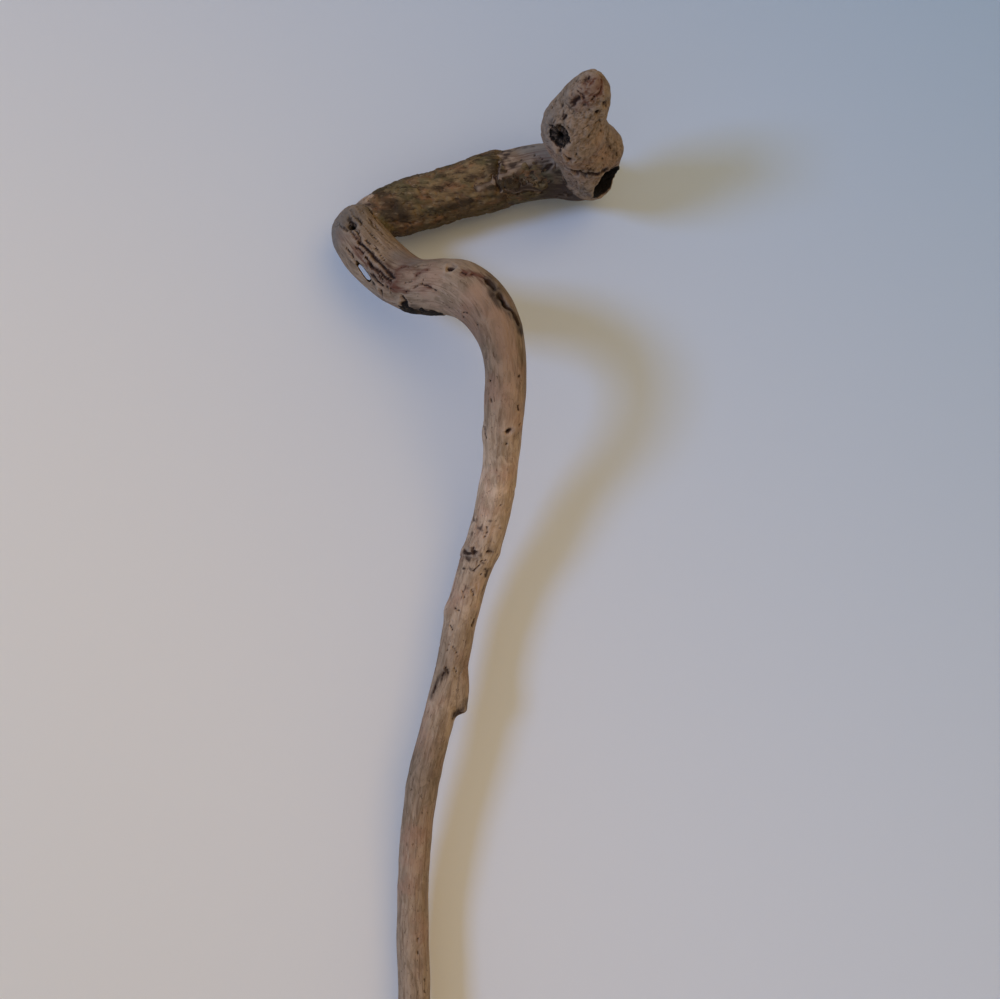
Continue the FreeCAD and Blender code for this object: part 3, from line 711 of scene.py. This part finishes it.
# Turns a layer of points into a closed shell that clings to the wood: the layer is shrunk onto the
# wood, lifted by its thickness outside, sunk a little inside, and walled round its edges.
def barkShell(name, layer, thicknessOf, allRound):
    rows, columns = layer.shape[:2]
    number = np.arange(rows * columns).reshape(rows, columns)
    if allRound:
        beside = np.roll(number, -1, axis=1)
        order = [number[:-1], beside[:-1], beside[1:], number[1:]]
        loops = [number[0], number[-1][::-1]]
    else:
        here, beside = number[:, :-1], number[:, 1:]
        order = [here[:-1], here[1:], beside[1:], beside[:-1]]
        loops = [np.r_[number[0], number[1:, -1], number[-1, -2::-1], number[-2:0:-1, 0]]]
    quads = np.stack(order, axis=-1).reshape(-1, 4)
    base = meshObject(name + "Layer", layer.reshape(-1, 3), [quads])
    wrap = base.modifiers.new("cling", "SHRINKWRAP")
    wrap.target = stick
    if allRound:
        wrap.wrap_method = "PROJECT"
        wrap.use_negative_direction = True
        wrap.use_positive_direction = False
        wrap.project_limit = 6 * mm          # far enough for the gap and the wood's own lumps
    base = baked(base)
    spots, normals = pointsOf(base.data), normalsOf(base.data)
    rounds = 2 if allRound else 8        # a patch is shrunk on less evenly
    spots = relax(spots, edgesOf(base.data), np.full(len(spots), 0.5), rounds)
    bpy.data.objects.remove(base)
    inwards = np.arange(rows)[:, None] * np.ones(columns)
    rim = np.minimum(inwards, rows - 1 - inwards)
    if not allRound:
        sides = np.arange(columns)[None, :] * np.ones((rows, 1))
        rim = np.minimum(rim, np.minimum(sides, columns - 1 - sides))
    thickness = thicknessOf(spots, rim.ravel())
    outer = spots + normals * (thickness * mm)[:, None]
    inner = spots - normals * bark["under"] * mm
    count = rows * columns
    ahead = [np.roll(loop, -1) for loop in loops]
    walls = [np.stack([loop, after, after + count, loop + count], axis=-1)
             for loop, after in zip(loops, ahead)]
    thing = meshObject(name, np.vstack([outer, inner]), [quads, quads[:, ::-1] + count] + walls)
    dampAndShade = bark["edgeShade"] * smoothStep(np.abs(normals[:, 2]), 0.35, 0.9)      # painted shade on the top and the underside
    for strength, width, places in bark["dampAndShade"]:
        dampAndShade = dampAndShade + strength * bell(distanceToLine(spots, places), width * mm)
    paint(thing.data, "dark", np.r_[dampAndShade, dampAndShade])
    paint(thing.data, "thin", np.r_[1 - smoothStep(thickness, 0.1, 1.1), np.ones(count)])
    return thing


# Bark is thick in plates, cut by narrow fissures, and worn through in places: plain noise for the
# plates, the dark side of a folded noise for the fissures, fine noise for the grit.
def barkThickness(spots, rim, worn=()):
    plates = bark["thickness"] + bark["waves"] * layeredNoise(spots * (0.7, 1, 1), 7 * mm, 91, 4)
    folded = np.abs(layeredNoise(spots * (0.5, 1, 1), 5 * mm, 95, 3))
    fissures = bark["fissures"] * (1 - smoothStep(folded, 0, 0.2))
    grit = bark["grit"] * layeredNoise(spots, 1.7 * mm, 97, 2)
    rimLoss = 1.5 * (1 + 0.7 * layeredNoise(spots, 4 * mm, 93, 3))      # mm taken off right at the rim
    total = plates - fissures + grit - (1 - smoothStep(rim, 0, bark["ragged"])) * rimLoss
    for strength, width, places in worn:
        away = distanceToLine(spots, places) * (1 + 0.4 * softNoise(spots, 3 * mm, 99))
        total = total - strength * bell(away, width * mm)
    return np.maximum(total, -bark["wornDepth"])


# Worn places: mm taken off and width in mm, then the places they run through.
wornLimb = [
    (1.2, 2.0, [(-42, -6, 851), (-40.5, -14, 848)]),
    (1.7, 1.3, [(20, -17.2, 849.8), (24.3, -17.6, 851.6), (29.7, -18.1, 854.3), (34, -18, 856.6)]),
    (2.6, 0.9, [(32.7, -17.6, 865.5), (33.2, -18.5, 859.3), (30.7, -18.5, 857), (32.7, -17.4, 853),
                (34, -15.6, 849)]),
]
wornNeck = [
    (0.9, 3.5, [(52, -18, 860), (62, -18, 858)]), (1.2, 2.0, [(36, -17.9, 857.6), (44.6, -17.9, 861.8)]),
    (1.2, 1.6, [(36, -13, 849.5), (50, -12, 850), (58, -10, 849.5)]),
]
# The two patches: upper and lower edge in mm, rows and columns of points, and the bark's thickness as
# a share of the sleeve's.
patches = {
    "neckBark": {"upper": [(34.5, -18, 858), (40, -18.4, 860.5), (46, -18, 863), (53, -18, 865),
                           (63, -17, 866)],
                 "lower": [(34.5, -5, 844), (41, -4, 844.5), (47, -4, 845), (54, -5, 846), (63, -9, 848.5)],
                 "rows": 60, "columns": 90, "seed": 3, "share": 0.8, "worn": wornNeck},
    "bendBark": {"upper": [(-25, -39, 781.5), (-17, -43, 781), (-11, -47.5, 779), (-5, -50.5, 779),
                           (5, -56, 777.5)],
                 "lower": [(-24, -28, 777), (-15, -27, 776), (-8, -30, 774.5), (-1, -38, 772), (8, -46, 769)],
                 "rows": 44, "columns": 72, "seed": 7, "share": 0.5, "worn": ()},
}

stick = rough
stick.name = "driftwoodStick"
mesh.name = "driftwoodStick"

layer = sleeveOverWood(paths["limb"], bark["starts"], bark["ends"], bark["sleeveRows"], bark["sleeveColumns"])
limbBark = barkShell("limbBark", layer, lambda spots, rim: barkThickness(spots, rim, wornLimb), True)
patchBark = {}
for name, facts in patches.items():
    layer = patchOverWood(facts["upper"], facts["lower"], facts["rows"], facts["columns"], facts["seed"])
    patchBark[name] = barkShell(
        name, layer, lambda spots, rim: facts["share"] * barkThickness(spots, rim, facts["worn"]), False)
print("bark laid on")

# The plugs' sizes in mm; each sits in the hollow it is named for.
headKnot = {"hollow": "eye", "radius": 5.8, "sunk": 2.2, "pith": 1.6, "pithDeep": 5.0, "deep": 11.5,
            "splinters": 2.2}
elbowKnot = {"hollow": "elbowKnot", "radius": 3.1, "sunk": 1.2, "pith": 1.2, "pithDeep": 3.0, "deep": 7.5,
             "splinters": 0.8}


# A dead knot: a disc whose height falls into a round pith hole in the middle and rises in ragged
# splinters towards the rim, each splinter a peak of noise round the ring, on a blunt cone.
def deadKnot(name, facts, seed):
    columns = 90
    turn = np.linspace(0, 2 * np.pi, columns, endpoint=False)
    circle = np.c_[np.cos(turn), np.sin(turn), np.zeros(columns)]
    out = np.r_[0.04, np.linspace(0.1, 1, 22)][:, None]          # share of the way out, ring by ring
    ragged = np.maximum(layeredNoise(circle, 0.32, seed, 3), -0.3)
    fine = layeredNoise(circle, 0.1, seed + 5, 2)
    pith = smoothStep(facts["pith"] / facts["radius"] * (1 + 0.3 * ragged) + 0.06 - out, 0, 0.1)
    height = (facts["sunk"] + pith * facts["pithDeep"] - facts["splinters"] * ragged * out ** 1.6
              - 0.35 * fine * out)
    radius = facts["radius"] * out * (1 + 0.05 * fine)
    # the cone below the disc: four rings, never above its rim
    down = np.maximum(np.array([0.3, 0.65, 0.9, 1.0])[:, None] * facts["deep"], height[-1:] + 0.3)
    shrink = np.array([0.98, 0.8, 0.55, 0.15])[:, None] * facts["radius"]
    place, inward = hollow[facts["hollow"]][:2]
    thing = ringStack(name, place, inward, np.vstack([radius, shrink + 0 * radius[:1]]),
                      np.vstack([height, down]), columns)
    rings = np.r_[out[:, 0], np.ones(len(down))]
    outward = np.r_[np.repeat(rings, columns), 0, 1]
    angle = np.r_[np.tile(turn, len(rings)), 0, 0]
    paint(thing.data, "outward", outward)
    paintVector(thing.data, "spoke", np.c_[np.cos(angle), np.sin(angle), 0.5 * outward])
    return thing


headPlug = deadKnot("headKnot", headKnot, 13)
elbowPlug = deadKnot("elbowKnot", elbowKnot, 27)
print("knots set")

ferrule = {
    # radius and height of each corner of the half section, mm, from the middle of the foot outwards,
    # up the outside, over the lip and down the bore
    "corners": [(5.5, 0), (5.5, 1.5), (7.5, 1.5), (7.5, 0), (10.5, 0), (10.5, 1.5), (12.5, 1.5), (12.5, 0),
                (15.7, 0), (16.5, 1.0), (16.5, 8.0), (12, 15), (11, 17), (11, 18.5), (12.6, 20), (12.6, 23.5),
                (11.2, 25), (11.2, 43), (12.2, 44), (12.2, 47), (8.6, 47), (8.6, 9)],
    "roundness": 0.45, "columns": 160, "ribs": 40, "ribHeight": 0.22,
}


# Corners rounded off by a short quadratic curve that starts and ends a set length from each.
def roundedCorners(corners, size, steps=5):
    table = np.array([(0, corners[0][1])] + corners + [(0, corners[-1][1])], float)
    before, here, after = table[:-2], table[1:-1], table[2:]
    lengthIn = np.linalg.norm(before - here, axis=1)
    lengthOut = np.linalg.norm(after - here, axis=1)
    size = np.minimum(size, 0.45 * np.minimum(lengthIn, lengthOut))[:, None]
    start = here + (before - here) / lengthIn[:, None] * size
    end = here + (after - here) / lengthOut[:, None] * size
    part = np.linspace(0, 1, steps)[:, None, None]
    curve = (1 - part) ** 2 * start + 2 * part * (1 - part) * here + part ** 2 * end
    return curve.transpose(1, 0, 2).reshape(-1, 2)


# The ferrule: its rounded half section turned all the way round, with shallow upright grooves in the
# flared foot wherever the cosine of the angle times the number of ribs is high.
section = roundedCorners(ferrule["corners"], ferrule["roundness"])
turn = np.linspace(0, 2 * np.pi, ferrule["columns"], endpoint=False)[None, :]
rise = section[:, 1:]
flank = smoothStep(rise, 1.2, 2.5) * (1 - smoothStep(rise, 7, 8)) * (section[:, :1] > 14)     # ribbed here
ribbed = section[:, :1] - ferrule["ribHeight"] * flank * smoothStep(np.cos(ferrule["ribs"] * turn), 0.2, 0.9)
tip = ringStack("rubberFerrule", (0, 0, 0), (0, 0, 1), ribbed, rise + 0 * turn, ferrule["columns"])
print("ferrule turned")


# A colour written as six hex digits, made linear.
def colour(digits):
    parts = np.array([int(digits[k:k + 2], 16) for k in (0, 2, 4)]) / 255
    return (*np.where(parts <= 0.04045, parts / 12.92, ((parts + 0.055) / 1.055) ** 2.4).tolist(), 1)


# Adds a node, sets its properties and sockets, and links other outputs into it.
def addNode(tree, kind, settings=None, links=None):
    item = tree.nodes.new(kind)
    for key, value in (settings or {}).items():
        if isinstance(key, int) or key in item.inputs:
            item.inputs[key].default_value = value
        else:
            setattr(item, key, value)
    for key, source in (links or {}).items():
        tree.links.new(source, item.inputs[key])
    return item


# A pattern of noise with blots about so many mm across, on the object's own coordinates, and so
# many times longer along the grip limb.
def blots(tree, size, detail=4, shift=0.0, drawn=1.0):
    spot = addNode(tree, "ShaderNodeTexCoord")
    place = {"Location": (shift, shift, shift), "Rotation": (0, 0.1, 0), "Scale": (1 / drawn, 1, 1)}
    moved = addNode(tree, "ShaderNodeMapping", place, {"Vector": spot.outputs["Object"]})
    look = {"Scale": 1 / (size * mm), "Detail": detail, "Roughness": 0.58}
    return addNode(tree, "ShaderNodeTexNoise", look, {"Vector": moved.outputs[0]}).outputs[0]


# A pattern drawn out along the wood's grain: so many mm across the fibres and along them.
def fibres(tree, width, length, detail=3, twist=0.4):
    spot = addNode(tree, "ShaderNodeAttribute", {"attribute_name": "grain"})
    squeeze = {"operation": "MULTIPLY", 1: (1, 1, width / length)}
    drawn = addNode(tree, "ShaderNodeVectorMath", squeeze, {0: spot.outputs["Vector"]})
    look = {"Scale": 1 / (width * mm), "Detail": detail, "Roughness": 0.6, "Distortion": twist}
    return addNode(tree, "ShaderNodeTexNoise", look, {"Vector": drawn.outputs[0]}).outputs[0]


# Lays coats of colour over a first one: each shows where its pattern climbs from low to high, at its
# own strength. The first is a hex colour or what another node gives.
def coated(tree, first, coats):
    tint = first
    for over, pattern, low, high, strength in coats:
        span = {"interpolation_type": "SMOOTHSTEP", "From Min": low, "From Max": high, "To Max": strength}
        amount = addNode(tree, "ShaderNodeMapRange", span, {"Value": pattern})
        settings, links = {"data_type": "RGBA", 7: colour(over)}, {0: amount.outputs[0]}
        if isinstance(tint, str):
            settings[6] = colour(tint)
        else:
            links[6] = tint
        tint = addNode(tree, "ShaderNodeMix", settings, links).outputs[2]
    return tint


# A painted level, broken up by a pattern so that its border frays.
def frayed(tree, name, pattern, amount):
    level = addNode(tree, "ShaderNodeAttribute", {"attribute_name": name})
    return addNode(tree, "ShaderNodeMath", {"operation": "MULTIPLY_ADD", 1: amount},
                   {0: pattern, 2: level.outputs["Fac"]}).outputs[0]


# The sum of some patterns, each times its share.
def summed(tree, parts):
    total = None
    for pattern, share in parts:
        settings = {"operation": "MULTIPLY_ADD", 1: share, 2: 0.0}
        links = {0: pattern}
        if total is not None:
            links[2] = total
        total = addNode(tree, "ShaderNodeMath", settings, links).outputs[0]
    return total


# A material with its shader, and the settings that are the same all over its surface.
def newMaterial(name, settings):
    material = bpy.data.materials.new(name)
    material.use_nodes = True
    shader = material.node_tree.nodes["Principled BSDF"]
    for key, value in settings.items():
        shader.inputs[key].default_value = value
    return material, material.node_tree, shader


# Gives a shader its colour, its roughness, which follows a pattern between two values, and its
# relief, which follows a height pattern and is so many mm deep.
def dress(tree, shader, tint, pattern, low, high, height, depth):
    between = {"From Min": 0.3, "From Max": 0.7, "To Min": low, "To Max": high}
    rough = addNode(tree, "ShaderNodeMapRange", between, {"Value": pattern})
    bump = addNode(tree, "ShaderNodeBump", {"Strength": 1.0, "Distance": depth * mm}, {"Height": height})
    tree.links.new(tint, shader.inputs["Base Color"])
    tree.links.new(rough.outputs[0], shader.inputs["Roughness"])
    tree.links.new(bump.outputs[0], shader.inputs["Normal"])


# Driftwood, bleached and worn by water: long silver-brown fibres with pink and grey patches, matt, with
# painted shade that darkens every crack, pore and hollow and a painted highlight on the ridges.
def weatheredDriftwood():
    material, tree, shader = newMaterial("weatheredDriftwood", {
        "IOR": 1.45, "Specular IOR Level": 0.2, "Sheen Weight": 0.04, "Sheen Roughness": 0.6})
    streak = fibres(tree, 1.3, 15, 5)              # bundles of fibres, a little over 1 mm wide
    fine = fibres(tree, 0.45, 9, 3)                # single fibres, drawn as coarse as they need to show
    blotch = fibres(tree, 6, 16, 4, 1.2)
    cloud = blots(tree, 26, 3)
    speck = fibres(tree, 1.1, 3.2, 3, 0.8)
    paintedShadeAndHighlight, light, rim = (addNode(tree, "ShaderNodeAttribute", {"attribute_name": name}).outputs["Fac"]
                          for name in ("shadeAndHighlightDepth", "tone", "edge"))
    tint = coated(tree, "90785e", [
        ("b4997d", blotch, 0.36, 0.64, 1.0), ("a87f66", cloud, 0.5, 0.72, 0.6),
        ("775c46", streak, 0.5, 0.66, 0.6), ("c7b09a", fine, 0.54, 0.7, 0.4),
        ("4d3421", speck, 0.6, 0.69, 0.7),
        ("c9a183", frayed(tree, "pale", blotch, 0.5), 0.45, 1.1, 0.7),          # the painted stains, and the painted shade under the snag
        ("858079", frayed(tree, "grey", blotch, 0.6), 0.45, 1.15, 0.75),
        ("6e3c2c", frayed(tree, "rust", streak, 0.7), 0.6, 1.1, 0.85),
        ("565131", frayed(tree, "moss", blotch, 0.7), 0.6, 1.1, 0.85),
        ("33221a", frayed(tree, "dark", streak, 0.7), 0.55, 1.15, 0.9),
        # painted shade darkens the hollows and a painted highlight lightens the ridges
        ("33251a", paintedShadeAndHighlight, 0.06, 0.5, 0.8), ("c2ab93", paintedShadeAndHighlight, -0.08, -0.5, 0.45)])
    tint = addNode(tree, "ShaderNodeVectorMath", {"operation": "SCALE"}, {0: tint, "Scale": light}).outputs[0]
    tint = coated(tree, tint, [                    # cracks, pits and hollows: brown at the rim, partly the darker wood and partly painted shade, and black inside as painted shade
        ("361f14", frayed(tree, "edge", fine, 0.9), 0.75, -0.2, 0.9), ("0a0605", rim, -0.6, -1.2, 0.97)])
    height = summed(tree, [(streak, 0.6), (fine, 0.35), (speck, -0.5)])
    dress(tree, shader, tint, streak, 0.72, 0.92, height, 0.45)
    return material


# Bark with algae and lichen: brown plates, near black fissures, green-black damp patches and amber
# specks, dead matt, with painted shade on the top and the underside.
def mossyBark():
    material, tree, shader = newMaterial("mossyBark", {"IOR": 1.45, "Specular IOR Level": 0.25})
    plate, patch, grit = blots(tree, 4, 6, 0, 2.2), blots(tree, 13, 4, 0.3, 1.6), blots(tree, 2.2, 6, 0.7, 2)
    warm, flecks = blots(tree, 6, 5, 1.1, 2.5), blots(tree, 1.8, 4, 1.9, 3.5)
    tint = coated(tree, "4c3b29", [
        ("876f4c", plate, 0.34, 0.66, 1.0), ("8c6444", warm, 0.5, 0.64, 0.6),
        # the painted level darkens the damp places and, as painted shade, the top and the underside
        ("5a5335", patch, 0.48, 0.64, 0.6), ("2f261b", frayed(tree, "dark", plate, 1.1), 0.75, 1.3, 0.8),
        ("2a1e14", grit, 0.52, 0.68, 0.75), ("a48d6d", flecks, 0.56, 0.7, 0.4),
        ("755946", frayed(tree, "thin", grit, 0.6), 0.9, 1.4, 0.45)])
    height = summed(tree, [(grit, -0.7), (flecks, 0.3), (plate, 0.4)])
    dress(tree, shader, tint, grit, 0.82, 0.97, height, 0.9)
    return material


# Old bark stained by wet ground: almost black, with a brown bloom on the high grit.
def darkBark():
    material, tree, shader = newMaterial("darkBark", {"IOR": 1.45, "Specular IOR Level": 0.25})
    plate, grit = blots(tree, 5, 5), blots(tree, 1.6, 4, 0.5)
    tint = coated(tree, "17110c", [("3b2d1e", plate, 0.42, 0.68, 1.0), ("5b4a35", grit, 0.58, 0.74, 0.6)])
    dress(tree, shader, tint, grit, 0.85, 0.98, summed(tree, [(grit, 0.7), (plate, 0.4)]), 0.7)
    return material


# A dead branch's stub, rotted back: grey and brown splinters like spokes round a black pith.
def deadKnotWood():
    material, tree, shader = newMaterial("deadKnotWood", {"IOR": 1.45, "Specular IOR Level": 0.25})
    spoke = addNode(tree, "ShaderNodeAttribute", {"attribute_name": "spoke"})
    splinters = {"Scale": 2.6, "Detail": 5.0, "Roughness": 0.75, "Distortion": 1.2}
    rays = addNode(tree, "ShaderNodeTexNoise", splinters, {"Vector": spoke.outputs["Vector"]}).outputs[0]
    grit = blots(tree, 1.2, 3)
    tint = coated(tree, "1d1610", [
        ("5c4d40", rays, 0.44, 0.62, 1.0), ("8b8078", rays, 0.6, 0.72, 0.6),
        ("120d09", grit, 0.55, 0.7, 0.7)])
    level = addNode(tree, "ShaderNodeAttribute", {"attribute_name": "outward"})
    inPith = addNode(tree, "ShaderNodeMapRange", {"From Min": 0.5, "From Max": 0.24},
                     {"Value": level.outputs["Fac"]})
    tint = addNode(tree, "ShaderNodeMix", {"data_type": "RGBA", 7: colour("070504")},
                   {0: inPith.outputs[0], 6: tint}).outputs[2]
    dress(tree, shader, tint, grit, 0.85, 0.97, summed(tree, [(rays, 0.8), (grit, 0.3)]), 0.6)
    return material


# Carbon-black rubber, moulded: dark grey, a soft wide shine, fine grain from the mould and pale dust
# from the ground on the lowest 10 mm of the foot.
def mouldedRubber():
    material, tree, shader = newMaterial("mouldedRubber", {"IOR": 1.52, "Specular IOR Level": 0.45})
    grit, wear = blots(tree, 0.9, 2), blots(tree, 9, 4)
    place = addNode(tree, "ShaderNodeTexCoord")
    axes = addNode(tree, "ShaderNodeSeparateXYZ", {}, {0: place.outputs["Object"]})
    dust = addNode(tree, "ShaderNodeMapRange", {"From Min": 10 * mm, "From Max": 0.0, "To Max": 0.5},
                   {"Value": axes.outputs["Z"]})
    dusty = addNode(tree, "ShaderNodeMath", {"operation": "MULTIPLY_ADD", 1: 0.5},
                    {0: wear, 2: dust.outputs[0]}).outputs[0]
    tint = coated(tree, "1b1b1c", [("28282a", wear, 0.4, 0.65, 1.0), ("6f6a62", dusty, 0.35, 0.95, 0.6)])
    dress(tree, shader, tint, wear, 0.5, 0.68, summed(tree, [(grit, 0.6), (wear, 0.2)]), 0.12)
    return material


# Zinc-plated steel, stamped and tumbled: bright grey with a faint blue bloom and fine scratches.
def zincPlatedSteel():
    material, tree, shader = newMaterial("zincPlatedSteel", {"Metallic": 1.0})
    bloom, scratch = blots(tree, 5, 3), blots(tree, 0.6, 2)
    tint = coated(tree, "aeb2b6", [("c3c4bf", bloom, 0.4, 0.65, 1.0)])
    dress(tree, shader, tint, bloom, 0.28, 0.42, scratch, 0.03)
    return material


# Cotton, woven and brushed, for the floor and the backdrop: off-white and matt. The backdrop has painted
# light: its colour goes from cream on the left to cool white on the right and grows darker and bluer
# towards the upper right, as the light of a window falls off across it; its back lets the view through.
def paleCottonAndPaintedLight(withPaintedLight):
    material, tree, shader = newMaterial("paleCottonAndPaintedLight", {"Roughness": 0.9, "Specular IOR Level": 0.2,
                                                        "Base Color": colour("e3ddd2")})
    if not withPaintedLight:
        return material
    place = addNode(tree, "ShaderNodeTexCoord")
    axes = addNode(tree, "ShaderNodeSeparateXYZ", {}, {0: place.outputs["Object"]})
    slope = addNode(tree, "ShaderNodeVectorMath", {"operation": "DOT_PRODUCT", 1: (0.7, 0, 1)},
                    {0: place.outputs["Object"]})
    # painted light: cream to cool white from left to right, darker and bluer towards the upper right
    tint = coated(tree, "ede4d3", [("e4e9f0", axes.outputs["X"], -0.3, 0.36, 1.0),
                                   ("89b0d3", slope.outputs["Value"], 0.4, 1.55, 0.85)])
    tree.links.new(tint, shader.inputs["Base Color"])
    side = addNode(tree, "ShaderNodeNewGeometry")
    clear = addNode(tree, "ShaderNodeBsdfTransparent")
    both = addNode(tree, "ShaderNodeMixShader", {},
                   {0: side.outputs["Backfacing"], 1: shader.outputs[0], 2: clear.outputs[0]})
    tree.links.new(both.outputs[0], tree.nodes["Material Output"].inputs["Surface"])
    return material


finishes = [
    (stick, weatheredDriftwood(), "driftwood_stick", "weathered_driftwood"),
    (limbBark, mossyBark(), "limb_bark", "mossy_bark"),
    (patchBark["neckBark"], None, "neck_bark", "mossy_bark"),
    (patchBark["bendBark"], darkBark(), "bend_bark", "dark_bark"),
    (headPlug, deadKnotWood(), "head_knot", "dead_knot"),
    (elbowPlug, None, "elbow_knot", "dead_knot"),
    (tip, mouldedRubber(), "rubber_ferrule", "ferrule_rubber"),
]
used = None
for piece, material, cadNode, finish in finishes:
    used = material or used          # a piece without its own material shares the one before it
    piece.data.materials.clear()
    piece.data.materials.append(used)
    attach(piece, "root")
    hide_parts(cadNode)
steel = zincPlatedSteel()
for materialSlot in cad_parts["ferrule_washer"].material_slots:
    materialSlot.material = steel
print("materials on")

studio = {
    "wallBehind": 18.0,                    # mm behind the cane's middle line, just clear of it
    "wallHalf": 3.0, "floorHalf": 30.0,    # metres from the middle to the edge; the wall is as high as this
    "keyPower": 19.6, "keyColour": "90baff", "keyPlace": (-1.45, -1.5, 1.0), "keySize": 0.5,
    "fillPower": 17.0, "fillColour": "ffd895", "fillPlace": (0.9, -2.5, 1.4), "fillSize": 1.7,
    "lookAt": (0.03, 0, 0.7),              # where both lights point, a little under the handle
    "skyColour": "fff6e4", "skyStrength": 0.33,
    "cameraPlace": (0.034, -0.7335, 0.672), "lens": 45, "sensor": 36,
}
wide, far, behind = studio["wallHalf"], studio["floorHalf"], studio["wallBehind"] * mm
planes = {"floor": [(-far, -far, 0), (far, -far, 0), (far, far, 0), (-far, far, 0)],
          "backdrop": [(-wide, behind, 0), (wide, behind, 0), (wide, behind, wide), (-wide, behind, wide)]}
for name, corners in planes.items():
    plane = meshObject(name, np.array(corners), [np.array([[0, 1, 2, 3]])], smooth=False)
    plane.data.materials.append(paleCottonAndPaintedLight(name == "backdrop"))


# A square soft light that looks at the handle.
def softLight(name, place, size, power, tint):
    lamp = bpy.data.lights.new(name, "AREA")
    lamp.size = size
    lamp.energy = power
    lamp.color = colour(tint)[:3]
    thing = bpy.data.objects.new(name, lamp)
    bpy.context.scene.collection.objects.link(thing)
    thing.location = place
    towards = Vector(studio["lookAt"]) - Vector(place)
    thing.rotation_euler = towards.to_track_quat("-Z", "Y").to_euler()


softLight("window", studio["keyPlace"], studio["keySize"], studio["keyPower"], studio["keyColour"])
softLight("room", studio["fillPlace"], studio["fillSize"], studio["fillPower"], studio["fillColour"])
world = bpy.data.worlds.new("paleRoom")
bpy.context.scene.world = world
world.use_nodes = True
sky = world.node_tree.nodes["Background"]
sky.inputs["Color"].default_value = colour(studio["skyColour"])
sky.inputs["Strength"].default_value = studio["skyStrength"]
bpy.context.scene.view_settings.view_transform = "Standard"

lens = bpy.data.cameras.new("camera")
lens.lens = studio["lens"]
lens.sensor_width = studio["sensor"]
camera = bpy.data.objects.new("camera", lens)
bpy.context.scene.collection.objects.link(camera)
camera.location = studio["cameraPlace"]
camera.rotation_euler = (np.pi / 2, 0, 0)          # level, looking along +Y
bpy.context.scene.camera = camera
print("stage, light and camera set")
